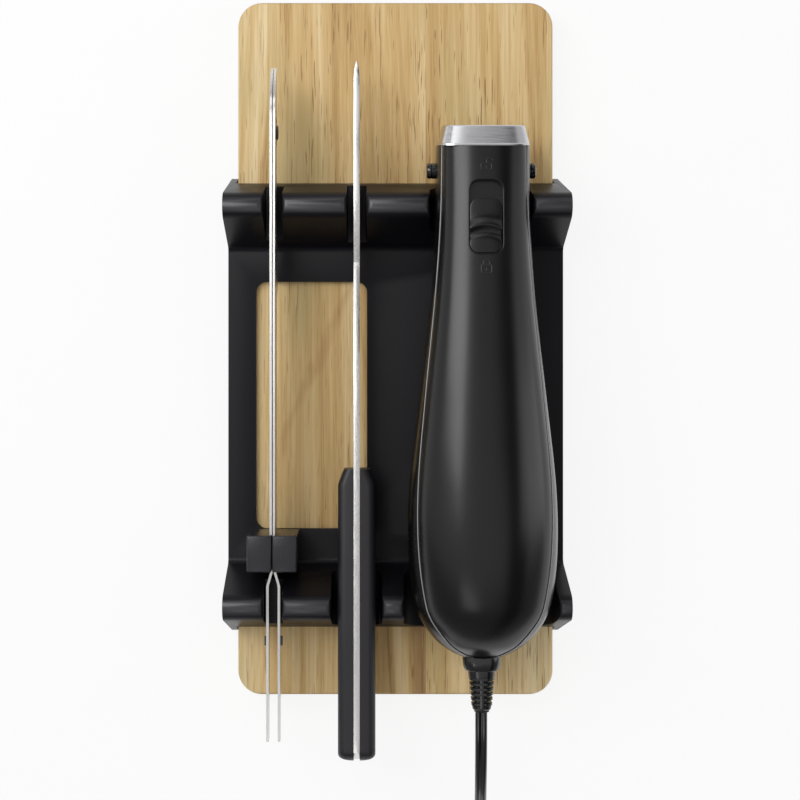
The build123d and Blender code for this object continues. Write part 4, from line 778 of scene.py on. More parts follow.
# Middle, half width, bottom, bottom radius, lip flare and end of each notch
NOTCHES = (
    (-57.20 * MM, 4.35 * MM, 29.2 * MM, 0.5 * MM, 3.0 * MM, 1),
    (-18.60 * MM, 4.60 * MM, 26.5 * MM, 0.5 * MM, 3.0 * MM, 1),
    (38.35 * MM, 23.4 * MM, 31.2 * MM, 12.0 * MM, 3.0 * MM, 1),
    (-57.20 * MM, 4.25 * MM, 35.7 * MM, 0.5 * MM, 3.0 * MM, -1),
    (-18.60 * MM, 11.7 * MM, 28.2 * MM, 3.0 * MM, 3.0 * MM, -1),
    (38.35 * MM, 35.2 * MM, 24.0 * MM, 12.0 * MM, 3.0 * MM, -1),
)
WINDOW_X = -40.2 * MM


def carving_board():
    """Board with rounded corners and softly rounded rims"""
    look = looks("board")
    width = BOARD_HIGH.x - BOARD_LOW.x
    length = BOARD_HIGH.y - BOARD_LOW.y
    middle = (BOARD_LOW.y + BOARD_HIGH.y) / 2
    edge = look.edge
    rings = []
    for level, begin in ((BOARD_LOW.z, -90), (BOARD_HIGH.z, 0)):
        for step in range(7):
            turn = math.radians(begin + 90 * step / 6)
            draw_in = edge * (1 - math.cos(turn))
            lift = edge * (1 + math.sin(turn)) if begin < 0 else edge * (math.sin(turn) - 1)
            outline = rounded_outline(width - 2 * draw_in, length - 2 * draw_in,
                                      look.corner - draw_in, 12)
            rings.append([(x, y + middle, level + lift) for x, y in outline])
    board = mesh_piece("carving_board", *skin(rings), finishes["wood"], sharp=50)
    place_on(board, "board", "board_wood", "cutting_board")


def rubber_feet():
    low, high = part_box("tray_feet")
    radius = 5 * MM
    parts = []
    for x in (low.x + radius, high.x - radius):
        for y in (low.y + radius, high.y - radius):
            profile = ((0, radius * 0.86), (0.25 * MM, radius * 0.96), (0.6 * MM, radius),
                       (high.z, radius))
            parts.append(turned(profile, (x, y, low.z), (0, 0, 1), 32))
    feet = mesh_piece("rubber_feet", *gather(parts), finishes["pad"])
    place_on(feet, "tray", "pad_rubber", "tray_feet")


# Blades and fork

def blade_edge(look, y, nose_y, low_z):
    """Height of the toothed edge at a place along the blade"""
    if y > nose_y or y < nose_y - SCALLOP_COUNT * look.scallop:
        return low_z
    phase = ((nose_y - y) / look.scallop) % 1.0
    return low_z + look.scallop_depth * (1 - (2 * phase - 1) ** 2)


def toothed_blade(side):
    """One blade with its ground edge and drop point, and its jogged tang behind the guard"""
    look = looks("steel")
    thickness = BLADE_THICKNESS * MM
    inner = side * BLADE_GAP
    outer = inner + side * thickness
    tip_y = BLADE_HIGH.y
    top_z = BLADE_HIGH.z
    low_z = BLADE_LOW.z
    axis_z = (top_z + low_z) / 2
    nose_y = tip_y - POINT_LENGTH
    rings = []
    places = []
    y = GUARD_LOW.y + 3 * MM
    while y < nose_y:
        places.append(y)
        y += look.scallop / 12
    places += [nose_y + POINT_LENGTH * math.sin(math.radians(90 * step / 26)) for step in range(26)]
    for y in places:
        share = max(0.0, (y - nose_y) / (tip_y - nose_y))
        top = top_z - (top_z - axis_z + 2 * MM) * share ** 2.6
        sweep = 1 - math.sqrt(1 - min(share, 0.9999) ** 2)
        low = blade_edge(look, y, nose_y, low_z) + (axis_z - 2 * MM - low_z) * sweep
        grind = min(look.grind, (top - low) * 0.45)
        thin = inner + side * 0.18 * MM
        soft = min(0.12 * MM, (top - low) / 8)
        rings.append([
            (BLADES_X + inner, y, low), (BLADES_X + thin, y, low),
            (BLADES_X + outer, y, low + grind), (BLADES_X + outer, y, top - soft),
            (BLADES_X + outer - side * soft, y, top), (BLADES_X + inner + side * soft, y, top),
            (BLADES_X + inner, y, top - soft)])
    parts = [skin(rings)]
    jog = 9 * MM
    tang_in = side * (SOCKET_PITCH - BLADE_THICKNESS) / 2 * MM
    half = 4 * MM
    root = GUARD_LOW.y
    chamfer = 1.5 * MM
    rings = []
    for y, x in ((root + 6 * MM, inner), (root, inner),
                 (root - jog * 0.15, inner + (tang_in - inner) * 0.03),
                 (root - jog * 0.85, inner + (tang_in - inner) * 0.97), (root - jog, tang_in),
                 (BLADE_LOW.y + chamfer, tang_in), (BLADE_LOW.y, tang_in)):
        taper = chamfer if y == BLADE_LOW.y else 0.0
        near, far = BLADES_X + x, BLADES_X + x + side * thickness
        under, over = axis_z - half + taper, axis_z + half - taper
        rings.append([(near, y, under), (far, y, under), (far, y, over), (near, y, over)])
    parts.append(skin(rings))
    stud_y = TRAY_Y + 127 * MM
    name = "blade_left" if side < 0 else "blade_right"
    # The stud is coloured near black, painted shade
    if side < 0:
        head = ((0, 2.2 * MM), (1.75 * MM, 2.2 * MM), (1.76 * MM, 3.4 * MM),
                (2.3 * MM, 3.3 * MM), (2.6 * MM, 2.6 * MM), (2.65 * MM, 0.5 * MM))
        stud = mesh_piece("blade_stud",
                          *turned(head, (BLADES_X - 0.4 * MM, stud_y, axis_z), (1, 0, 0), 28),
                          finishes["stud"], sharp=30)
        place_on(stud, name, "blade_steel")
    blade = mesh_piece(name, *gather(parts), finishes["blade"], sharp=25)
    if side > 0:
        hole = rounded_outline(13.2 * MM, 5.2 * MM, 2.59 * MM, 8)
        cut = prism([(stud_y + y, axis_z + z) for y, z in hole], 0, BLADES_X - 1 * MM,
                    BLADES_X + 2.2 * MM)
        combine(blade, mesh_piece("cut", *cut, None), "DIFFERENCE")
        shade(blade, 25)
    node = "knife_blade_left" if side < 0 else "knife_blade_right"
    place_on(blade, name, "blade_steel", node)


def hand_guard(side):
    name = "left" if side < 0 else "right"
    low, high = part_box("blade_guard_" + name)
    guard = mesh_piece("guard_" + name, *box_part(low, high), finishes["guard"])
    round_edges(guard, 0.7 * MM, segments=4)
    place_on(guard, "blade_" + name, "guard_plastic", "blade_guard_" + name)


def grip_half(share):
    """Half the fork handle's height at a share of its length from the front"""
    swell = 7.5 + 4.0 * math.sin(min(share / 0.8, 1.0) * math.pi / 2) ** 1.3
    end = math.sqrt(max(0.0, 1 - max(0.0, (share - 0.957) / 0.043) ** 2))
    return swell * MM * end


def fork_outline():
    """Side view of the fork's steel: two tines, the shank and the full tang"""
    axis_z = (FORK_LOW.z + FORK_HIGH.z) / 2
    tip_y = FORK_HIGH.y
    root_y = tip_y - 96 * MM
    butt_y = FORK_LOW.y
    front_y = butt_y + 135 * MM
    upper = []
    lower = []
    for step in range(25):
        share = step / 24
        y = root_y + (tip_y - root_y) * share
        spread = 7.3 * MM * (1 - (1 - min(share / 0.42, 1.0)) ** 2)
        half = (2.75 - 2.05 * share) * MM
        upper.append((y, axis_z + spread + half * (1.0 if share else 2.0)))
        lower.append((y, axis_z + max(spread - half, 0.0 if share < 0.09 else 0.4 * MM)))
    handle = []
    for step in range(25):
        share = step / 24
        y = front_y - (front_y - butt_y) * share
        handle.append((y, grip_half(share)))
    top = upper[::-1] + [(y, axis_z + half) for y, half in handle]
    bottom = [(y, axis_z - half) for y, half in reversed(handle[:-1])]
    under = [(y, 2 * axis_z - z) for y, z in upper]
    inner = [(y, 2 * axis_z - z) for y, z in reversed(lower)]
    return top + bottom + under + inner + lower[1:]


def carving_fork():
    """Fork stamped from plate, with soft edges, riveted between two scales"""
    low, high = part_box("fork_steel")
    steel = mesh_piece("fork_steel_plate", *prism(fork_outline(), 0, low.x, high.x),
                       finishes["fork"])
    round_edges(steel, 0.85 * MM, segments=4)
    for vertex in steel.data.vertices:
        share = max(0.0, 1 - (high.y - vertex.co.y) / (7 * MM))
        vertex.co.x += (FORK_X - vertex.co.x) * 0.72 * share ** 1.5
    place_on(steel, "fork", "fork_steel", "fork_steel")
    for side, name in ((-1, "left"), (1, "right")):
        fork_scale(side, name)


def fork_scale(side, name):
    """Handle scale with a chamfered front and rounded back"""
    low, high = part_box("fork_scale_" + name)
    axis_z = (low.z + high.z) / 2
    inner = high.x if side < 0 else low.x
    full = high.x - low.x
    butt_y, front_y = low.y, high.y
    length = front_y - butt_y
    rings = []
    for step in range(61):
        share = 0.5 - 0.5 * math.cos(math.pi * step / 60)
        y = front_y - length * share
        nose = min(1.0, 0.62 + 0.38 * share / 0.052)
        tail = math.sqrt(max(0.02, 1 - max(0.0, (share - 0.966) / 0.034) ** 2))
        half = max(grip_half(share), 0.4 * MM)
        depth = full * nose * tail
        radius = min(3.4 * MM, depth * 0.9, half * 0.9)
        ring = [(0.0, -half)]
        ring += arc(depth - radius, -half + radius, radius, -90, 0, 8)
        ring += arc(depth - radius, half - radius, radius, 0, 90, 8)
        ring.append((0.0, half))
        rings.append([(inner + side * x, y, axis_z + z) for x, z in ring])
    scale = mesh_piece("fork_scale_" + name + "_moulded", *skin(rings), finishes["scale"], sharp=45)
    place_on(scale, "fork", "scale_plastic", "fork_scale_" + name)


# Handle

def squared_round(turn, half_width, half_height, square):
    """Point at an angle on a superellipse about the origin"""
    c = abs(math.cos(turn)) / half_width
    s = abs(math.sin(turn)) / half_height
    radius = (c ** square + s ** square) ** (-1 / square)
    return radius * math.cos(turn), radius * math.sin(turn)


def section_at(share):
    """Half width, half height, middle and squareness of the housing at a share of its length"""
    half_width = (SHELL_HIGH.x - SHELL_LOW.x) / 2 * smooth_share(BODY_SHARES, share, 1)
    tallest = (CROWN_Z - SHELL_LOW.z) / 2
    half_height = tallest * smooth_share(BODY_SHARES, share, 2)
    middle = (CROWN_Z + SHELL_LOW.z) / 2 - tallest * smooth_share(BODY_SHARES, share, 3)
    low, high = SQUARENESS_SHARES
    return half_width, half_height, middle, low + (high - low) * share


def seam_height(share):
    tallest = (CROWN_Z - SHELL_LOW.z) / 2
    return (CROWN_Z + SHELL_LOW.z) / 2 + tallest * smooth_share(SEAM_SHARES, share, 1)


def seam_turn(share, lift):
    """Angle at which the seam, raised by a lift, meets the section; a right angle past its end"""
    half_width, half_height, middle, square = section_at(share)
    rise = (seam_height(share) + lift - middle) / half_height
    if rise >= 1:
        return math.pi / 2
    out = (1 - max(rise, 0.0) ** square) ** (1 / square)
    return math.atan2(rise * half_height, out * half_width)


def on_section(share, turn, inset):
    """Point of the housing's section at an angle, drawn in by an inset"""
    half_width, half_height, middle, square = section_at(share)
    x, rise = squared_round(turn, half_width - inset, half_height - inset, square)
    return KNIFE_X + x, SHELL_LOW.y + share * (SHELL_HIGH.y - SHELL_LOW.y), middle + rise


def crown_height(x, y):
    """Height of the cover's outside above a place beside the handle's middle line"""
    share = (y - SHELL_LOW.y) / (SHELL_HIGH.y - SHELL_LOW.y)
    half_width, half_height, middle, square = section_at(share)
    return middle + half_height * (1 - (abs(x) / half_width) ** square) ** (1 / square)


def body_shares(start):
    """Places along the body, closer together at its rear end"""
    places = [start + (0.08 - start) * (step / 26) ** 2 for step in range(26)]
    places += [0.08 + 0.92 * step / 90 for step in range(91)]
    return places


def first_cover_share():
    low, high = 0.0, 0.02
    for _ in range(40):
        middle = (low + high) / 2
        if seam_turn(middle, 0.0) < math.pi / 2:
            high = middle
        else:
            low = middle
    return high


def cover_point(look, share, turn):
    """Point of the cover, drawn in beside the seam so that the lower shell stands proud"""
    plain = on_section(share, turn, 0)
    rise = max(0.0, plain[2] - seam_height(share))
    return on_section(share, turn, look.step * math.exp(-rise / look.step_reach))


def cover_shell(look):
    """Teardrop cover as a shell with a rounded rim"""
    rings = []
    lip = 0.15 * MM
    for share in body_shares(first_cover_share()):
        turn = seam_turn(share, lip)
        count = 72
        spread = math.pi - 2 * turn
        wall = min(look.shell, 0.9 * MM + spread * 12 * MM)
        rim = seam_turn(share, 0.0)
        places = [0.5 - 0.5 * math.cos(math.pi * step / count) for step in range(count + 1)]
        ring = [cover_point(look, share, turn + spread * place) for place in places]
        right = [on_section(share, rim, wall), on_section(share, rim, look.step + lip)]
        left = [on_section(share, math.pi - rim, look.step + lip),
                on_section(share, math.pi - rim, wall)]
        inner = [on_section(share, math.pi - turn - spread * step / 32, wall) for step in range(33)]
        rings.append(ring + left + inner + right)
    return skin(rings)


def housing_shell(look):
    """Lower shell with a rounded shelf along the seam and a tongue behind the cover's rim"""
    rings = []
    for share in body_shares(0.0):
        soft = seam_turn(share, -LIP_DROP)
        tongue = seam_turn(share, 0.8 * MM)
        count = 96
        spread = math.pi + 2 * soft
        end_wall = 4.5 * MM - 2.1 * MM * min(share / 0.03, 1.0)
        outer = [on_section(share, soft - spread * step / count, 0) for step in range(count + 1)]
        edge = Vector(outer[0])
        lip = [edge + Vector((-inward * MM, 0, rise * MM)) for inward, rise in LIP_ROWS]
        deep = on_section(share, seam_turn(share, -0.9 * MM), look.groove_depth)
        fall = [on_section(share, tongue, look.groove_depth),
                deep] + [tuple(point) for point in reversed(lip)]
        rise = [(2 * KNIFE_X - x, y, z) for x, y, z in reversed(fall)]
        inner = [on_section(share, math.pi - tongue + (math.pi + 2 * tongue) * step / 48, end_wall)
                 for step in range(49)]
        rings.append(outer + rise + inner + fall)
    return skin(rings)


def rake_nose(piece):
    """Leans the handle's nose back above its middle, so that its front end slopes"""
    begin = SHELL_HIGH.y - NOSE_REACH
    level = (SHELL_LOW.z + CROWN_Z) / 2
    for vertex in piece.data.vertices:
        share = min(max((vertex.co.y - begin) / (SHELL_HIGH.y - begin), 0.0), 1.0)
        vertex.co.y -= NOSE_RAKE * max(0.0, vertex.co.z - level) * share * share * (3 - 2 * share)


def seam_bead(look):
    """Fine bead along the lower shell's lip on both sides, pale grey as a painted highlight line"""
    parts = []
    for side in (1, -1):
        rings = []
        for share in body_shares(first_cover_share())[3:]:
            edge = Vector(on_section(share, seam_turn(share, -LIP_DROP), 0))
            middle = edge + Vector((-0.46 * MM, 0, 0.36 * MM))
            ring = []
            for step in range(10):
                turn = math.tau * step / 10
                x = middle.x + look.bead / 2 * math.cos(turn)
                ring.append((KNIFE_X + side * (x - KNIFE_X), middle.y,
                             middle.z + look.bead * 0.36 * math.sin(turn)))
            rings.append(ring)
        parts.append(skin(rings))
    bead = mesh_piece("seam_bead", *gather(parts), finishes["bead"], sharp=60)
    rake_nose(bead)
    place_on(bead, "knife", "housing_plastic")


def knife_covers():
    look = looks("knife")
    cover = mesh_piece("teardrop_cover", *cover_shell(look), finishes["housing"], sharp=40)
    middle_y = LOCK_Y
    share = (middle_y - SHELL_LOW.y) / (SHELL_HIGH.y - SHELL_LOW.y)
    crown = on_section(share, math.pi / 2, 0)[2]
    floor = crown - 4.6 * MM
    width, length, radius = look.lock_size
    outline = rounded_outline(width + 4 * MM, length + 4 * MM, radius + 2 * MM, 8)
    well = prism([(KNIFE_X + x, middle_y + y) for x, y in outline], 2, floor - 1.6 * MM,
                 crown - 1.9 * MM)
    combine(cover, mesh_piece("well", *well, None), "UNION")
    outline = rounded_outline(width, length, radius, 10)
    recess = prism([(KNIFE_X + x, middle_y + y) for x, y in outline], 2, floor, crown + 5 * MM)
    combine(cover, mesh_piece("cut", *recess, None), "DIFFERENCE")
    rake_nose(cover)
    shade(cover, 40)
    paint(cover, finishes["housing"])
    place_on(cover, "knife", "housing_plastic", "upper_cover")

    shell = mesh_piece("handle_shell", *housing_shell(look), finishes["housing"], sharp=40)
    cuts = []
    for index in range(VENT_COUNT):
        y = TRAY_Y + (VENT_Y + VENT_PITCH * (index - VENT_COUNT // 2)) * MM
        slot = rounded_outline(26 * MM, 2.4 * MM, 1.19 * MM, 6)
        cuts.append(prism([(KNIFE_X + x, y + rise) for x, rise in slot], 2, 15 * MM, 34 * MM))
    low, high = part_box("trigger")
    cuts.append(box_part((low.x - 0.4 * MM, low.y - 0.4 * MM, 15 * MM),
                         (high.x + 0.4 * MM, high.y + 0.4 * MM, 42 * MM)))
    for x, y in SCREW_PLACES:
        hole = circle(3.1 * MM, 28, (KNIFE_X + x * MM, TRAY_Y + y * MM))
        cuts.append(prism(hole, 2, 15 * MM, 41 * MM))
    hole = circle(3.9 * MM, 32, (BUTTON_Y, BUTTON_Z))
    cuts.append(prism(hole, 0, KNIFE_X - 40 * MM, KNIFE_X + 40 * MM))
    combine(shell, mesh_piece("cut", *gather(cuts), None), "DIFFERENCE")
    rake_nose(shell)
    shade(shell, 40)
    paint(shell, finishes["housing"])
    place_on(shell, "knife", "housing_plastic", "lower_housing")
    seam_bead(look)
    recess_rim()


def collar_ring(y, width_share, height_share, square, inset, count=96):
    half_width, half_height, middle, _ = section_at(1.0)
    half_width = half_width * width_share - inset
    half_height = half_height * height_share - inset
    ring = []
    for step in range(count):
        x, rise = squared_round(math.tau * step / count, half_width, half_height, square)
        ring.append((KNIFE_X + x, y, middle + rise))
    return ring


def front_collar():
    """Brushed ring with flat facets, a rolled rear edge and an opening for the blades"""
    rear = COLLAR_LOW.y
    front = COLLAR_HIGH.y
    square = 8.0
    guide_low, guide_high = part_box("front_guide")
    guide_x = (guide_high.x - guide_low.x) / 2 + 1.2 * MM
    guide_z = (guide_high.z - guide_low.z) / 2 + 1.2 * MM
    guide_mid = (guide_high.z + guide_low.z) / 2

    def opening(y):
        ring = []
        for step in range(96):
            x, rise = squared_round(math.tau * step / 96, guide_x, guide_z, square)
            ring.append((KNIFE_X + x, y, guide_mid + rise))
        return ring

    rings = [
        collar_ring(rear, 0.955, 0.955, square, 1.4 * MM),
        collar_ring(rear, 0.955, 0.955, square, 0.35 * MM),
        collar_ring(rear + 0.25 * MM, 0.965, 0.965, square, 0),
        collar_ring(rear + 0.9 * MM, 0.965, 0.965, square, 0),
        collar_ring(rear + 1.2 * MM, 0.955, 0.955, square, 0.1 * MM),
        collar_ring(front - 0.5 * MM, 0.872, 0.872, square, 0),
        collar_ring(front - 0.15 * MM, 0.862, 0.862, square, 0.15 * MM),
        collar_ring(front, 0.862, 0.862, square, 0.5 * MM),
        opening(front),
        opening(front - 1.4 * MM),
        collar_ring(front - 1.4 * MM, 0.862, 0.862, square, 1.6 * MM),
    ]
    collar = mesh_piece("brushed_collar", *closed_skin(rings), finishes["collar"], sharp=28)
    rake_nose(collar)
    place_on(collar, "knife", "collar_metal", "front_collar")


def recess_rim():
    """Fine rounded rim round the lock's recess, following the cover"""
    width, length, radius = looks("knife").lock_size
    middle_y = LOCK_Y
    outline = rounded_outline(width + 0.3 * MM, length + 0.3 * MM, radius + 0.15 * MM, 10)
    rings = []
    for index, (x, y) in enumerate(outline):
        before, after = outline[index - 1], outline[(index + 1) % len(outline)]
        run = Vector((after[0] - before[0], after[1] - before[1])).normalized()
        z = crown_height(x, middle_y + y)
        ring = []
        for step in range(10):
            turn = math.tau * step / 10
            out = 0.30 * MM * math.cos(turn)
            ring.append((KNIFE_X + x + run.y * out, middle_y + y - run.x * out,
                         z - 0.06 * MM + 0.22 * MM * math.sin(turn)))
        rings.append(ring)
    rim = mesh_piece("lock_recess_rim", *closed_skin(rings), finishes["housing"], sharp=60)
    place_on(rim, "knife", "housing_plastic")


def lock_switch():
    """Slider whose top follows the cover, with a curved thumb ledge"""
    low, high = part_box("lock_slider")
    middle_x = (low.x + high.x) / 2
    width = 14.3 * MM
    length = 24.3 * MM
    rear = LOCK_Y - 16.5 * MM + 0.4 * MM
    front = rear + length
    radius = 4.2 * MM
    ledge_y = (rear + front) / 2 + 0.4 * MM
    arc = 15.7 * MM
    floor = high.z - 4.4 * MM

    def top(x, y):
        behind = y - (ledge_y - arc + math.sqrt(arc ** 2 - x ** 2))
        crest_width = 1.1 * MM if behind < 0 else 2.6 * MM
        crest = math.exp(-(behind / crest_width) ** 2)
        dip = math.exp(-((behind + 3.2 * MM) / (1.7 * MM)) ** 2)
        return crown_height(x, y) - 0.25 * MM + crest * 0.95 * MM - dip * 0.55 * MM

    rows = []
    for step in range(121):
        y = rear + length * (0.5 - 0.5 * math.cos(math.pi * step / 120))
        past = max(rear + radius - y, y - front + radius, 0.0)
        half = width / 2 - radius + math.sqrt(max(radius ** 2 - past ** 2, 0.0))
        row = []
        for column in range(41):
            x = half * math.sin(math.pi / 2 * (column / 20 - 1))
            edge = min((half - abs(x)) / (0.45 * MM), 1.0)
            near = min((y - rear) / (0.45 * MM), (front - y) / (0.45 * MM), 1.0)
            drop = 0.45 * MM * (1 - math.sqrt(max(0.0, 1 - (1 - min(edge, max(near, 0.0))) ** 2)))
            row.append((middle_x + x, y, top(x, y) - drop))
        rows.append(row)
    rings = []
    for row in rows:
        sole = [(x, y, floor) for x, y, _ in row[::-1]]
        rings.append(row + sole)
    slider = mesh_piece("lock_switch", *skin(rings), finishes["housing"], sharp=40)
    place_on(slider, "lock", "housing_plastic", "lock_slider")


def padlock_marks():
    """Raised padlock outlines in front of the lock switch and behind it, one open and one closed"""
    parts = []
    line = 0.27 * MM

    def height(x, y):
        return crown_height(x, y) + (0.16 * MM if y > TRAY_Y + 100 * MM else 0.0)

    def stroke(path):
        rings = []
        for index, (x, y) in enumerate(path):
            before = path[max(index - 1, 0)]
            after = path[min(index + 1, len(path) - 1)]
            run = Vector((after[0] - before[0], after[1] - before[1])).normalized()
            side = Vector((-run.y, run.x)) * line
            z = height(x, y)
            ring = []
            for share, lift in ((1, -0.3), (0.75, 0.12), (0.3, 0.24), (-0.3, 0.24), (-0.75, 0.12),
                                (-1, -0.3)):
                ring.append((KNIFE_X + x + side.x * share, y + side.y * share, z + lift * MM))
            rings.append(ring)
        parts.append(skin(rings))

    for centre_y, lift, swing in ((TRAY_Y + 108.0 * MM, 1.0 * MM, 1.4 * MM),
                                  (TRAY_Y + 62.3 * MM, 0.0, 0.0)):
        outline = rounded_outline(4.6 * MM, 3.9 * MM, 0.7 * MM, 4)
        path = [(x, centre_y - 1.2 * MM + y) for x, y in outline]
        stroke(path + [path[0]])
        shackle = []
        for step in range(13):
            turn = math.pi * step / 12
            shackle.append((swing + 1.35 * MM * math.cos(turn),
                            centre_y + 1.7 * MM + lift + 1.35 * MM * math.sin(turn)))
        foot_y = centre_y + 0.8 * MM
        if swing:
            stroke(shackle + [(swing - 1.35 * MM, foot_y)])
        else:
            stroke([(1.35 * MM, foot_y)] + shackle + [(-1.35 * MM, foot_y)])
        stroke([(0.0, centre_y - 2.0 * MM), (0.0, centre_y - 0.8 * MM)])
    marks = mesh_piece("padlock_marks", *gather(parts), finishes["mark"], sharp=60)
    rake_nose(marks)
    place_on(marks, "knife", "housing_plastic")


def release_buttons():
    for side, name in ((-1, "left"), (1, "right")):
        low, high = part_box("release_button_" + name)
        length = high.x - low.x
        start = low.x if side > 0 else high.x
        middle = ((low.x + high.x) / 2, (low.y + high.y) / 2, (low.z + high.z) / 2)
        radius = 3.55 * MM
        wall = 17.4 * MM - (start - KNIFE_X) * side
        profile = ((0, radius), (wall - 2.0 * MM, radius), (wall - 2.0 * MM, 5.0 * MM),
                   (wall - 0.6 * MM, 5.0 * MM), (wall - 0.6 * MM, radius),
                   (length - 2.6 * MM, radius), (length - 2.3 * MM, radius * 0.93),
                   (length - 2.0 * MM, radius), (length - 0.9 * MM, radius),
                   (length - 0.3 * MM, radius * 0.9), (length, radius * 0.7),
                   (length - 0.15 * MM, radius * 0.35), (length - 0.25 * MM, radius * 0.02))
        button = mesh_piece("blade_button_" + name,
                            *turned(profile, (start, middle[1], middle[2]), (side, 0, 0), 44),
                            finishes["button"], sharp=35)
        place_on(button, "button_" + name, "button_plastic", "release_button_" + name)


# Cord, strain relief and plug

def oval_ring(y, z, width, height, corner_share=0.42, steps=8):
    outline = rounded_outline(width, height, min(width, height) * corner_share, steps)
    return [(KNIFE_X + x, y, z + rise) for x, rise in outline]


def oval_skin(rows, z):
    """Solid through rows of a place along the cord and a width and height in millimetres"""
    return skin([oval_ring(y, z, width * MM, height * MM) for y, width, height in rows])


def strain_relief():
    """Flared collar and neck, then a tapered tail whose ribs hang on a spine above and below"""
    low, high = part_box("strain_relief")
    z = (low.z + high.z) / 2
    rear = low.y
    start = SHELL_LOW.y
    parts = []
    collar = [(start + 1.5 * MM, 15.0, 12.0), (start - 0.4 * MM, 17.8, 13.0),
              (start - 3.6 * MM, 17.2, 12.6), (start - 5.6 * MM, 16.4, 12.0),
              (start - 6.5 * MM, 15.4, 11.4), (start - 6.8 * MM, 14.0, 10.9)]
    parts.append(oval_skin(collar, z))
    neck = [(start - 5.0 * MM, 12.6, 10.4), (start - 9.6 * MM, 12.0, 10.0),
            (start - 10.2 * MM, 11.8, 9.8)]
    parts.append(oval_skin(neck, z))
    tail_start = start - 9.8 * MM
    tail_end = rear + 2.2 * MM
    core = [(tail_start, 8.4, 6.0), (tail_end, 6.6, 4.4)]
    parts.append(oval_skin(core, z))
    ribs = 6
    pitch = (tail_start - tail_end) / ribs
    for index in range(ribs):
        front = tail_start - index * pitch
        share = index / (ribs - 1)
        width = (11.7 - 2.1 * share) * MM
        height = (9.6 - 1.9 * share) * MM
        thick = pitch * 0.58
        rows = ((front, 0.94), (front - 0.15 * MM, 1.0), (front - thick + 0.2 * MM, 1.0),
                (front - thick, 0.93))
        parts.append(skin([oval_ring(y, z, width * scale, height * scale) for y, scale in rows]))
    for side in (-1, 1):
        rings = []
        for y, height in ((tail_start + 0.5 * MM, 4.75), (tail_end, 3.8)):
            ring = [(-1.2, height - 2.0), (-1.2, height - 0.15), (-0.8, height), (0.8, height),
                    (1.2, height - 0.15), (1.2, height - 2.0)]
            rings.append([(KNIFE_X + x * MM, y, z + side * rise * MM) for x, rise in ring])
        parts.append(skin(rings))
    end = [(tail_end + 0.6 * MM, 8.8, 6.9), (tail_end - 0.6 * MM, 8.4, 6.6),
           (rear + 0.9 * MM, 7.2, 5.2), (rear + 0.2 * MM, 6.9, 4.9), (rear, 6.4, 4.4)]
    parts.append(oval_skin(end, z))
    relief = mesh_piece("cord_relief", *gather(parts), finishes["relief"], sharp=32)
    place_on(relief, "knife", "relief_rubber", "strain_relief")


# Points of the cord's free stretch, in the tray's millimetres
CORD_ROUTE = (
    (38.35, -139.5, 51.0),
    (38.35, -154.0, 51.0),
    (38.6, -171.5, 46.0),
    (39.4, -189.0, 33.5),
    (40.6, -206.0, 20.5),
    (41.5, -224.0, 12.6),
    (41.9, -243.5, 6.4),
    (41.9, -262.0, 4.9),
)
COIL_OUTER = 38.0
COIL_STEP = 3.05
COIL_HALF_TURNS = 5
COIL_TAIL = 20.0


def cord_points(look):
    """Route down to the floor, then half turns inward on top and outward below"""
    high = look.layer_high / MM
    low = look.layer_low / MM
    points = [Vector(point) for point in CORD_ROUTE]
    x, y = points[-1].x, points[-1].y - 6.0
    inward = [COIL_OUTER - index * COIL_STEP for index in range(COIL_HALF_TURNS)]
    turns = [(radius, high, high) for radius in inward]
    turns.append((inward[-1] - COIL_STEP, high, low))
    turns += [(radius, low, low) for radius in reversed(inward)]
    side = -1
    steps = 9
    for radius, from_z, to_z in turns:
        centre = x + side * radius
        for step in range(steps):
            turn = math.pi * (step + 0.5) / steps
            swell = radius * 1.012
            rise = from_z + (to_z - from_z) * (step + 0.5) / steps
            points.append(Vector((centre - side * swell * math.cos(turn),
                                  y + side * swell * math.sin(turn), rise)))
        x += 2 * side * radius
        side = -side
    end_z = 3.8
    for share in (0.1, 0.45, 0.75, 1.0):
        rise = low + (end_z - low) * min(1.0, share * 1.25)
        points.append(Vector((x, y + COIL_TAIL * share, rise)))
    return [Vector((p.x * MM, TRAY_Y + p.y * MM, p.z * MM)) for p in points]


def spline_path(points):
    """Points along a smooth curve that has these control points"""
    curve = bpy.data.curves.new("cord_path", "CURVE")
    curve.dimensions = "3D"
    curve.resolution_u = 6
    spline = curve.splines.new("NURBS")
    spline.points.add(len(points) - 1)
    for own, point in zip(spline.points, points):
        own.co = (*point, 1.0)
    spline.order_u = 3
    spline.use_endpoint_u = True
    holder = bpy.data.objects.new("cord_path", curve)
    bpy.context.scene.collection.objects.link(holder)
    bpy.context.view_layer.update()
    graph = bpy.context.evaluated_depsgraph_get()
    mesh = bpy.data.meshes.new_from_object(holder.evaluated_get(graph))
    path = [vertex.co.copy() for vertex in mesh.vertices]
    bpy.data.meshes.remove(mesh)
    bpy.data.objects.remove(holder)
    return path


def twin_section(width, height):
    """Outline of a flat two core cord, a round lobe on each side of a shallow groove"""
    outline = []
    lobe = height / 2
    offset = width / 2 - lobe
    steps = 9
    gap = math.radians(38)
    for side in (1, -1):
        for step in range(steps + 1):
            turn = -(math.pi - gap) + 2 * (math.pi - gap) * step / steps
            outline.append((side * (offset + lobe * math.cos(turn)), side * lobe * math.sin(turn)))
    return outline


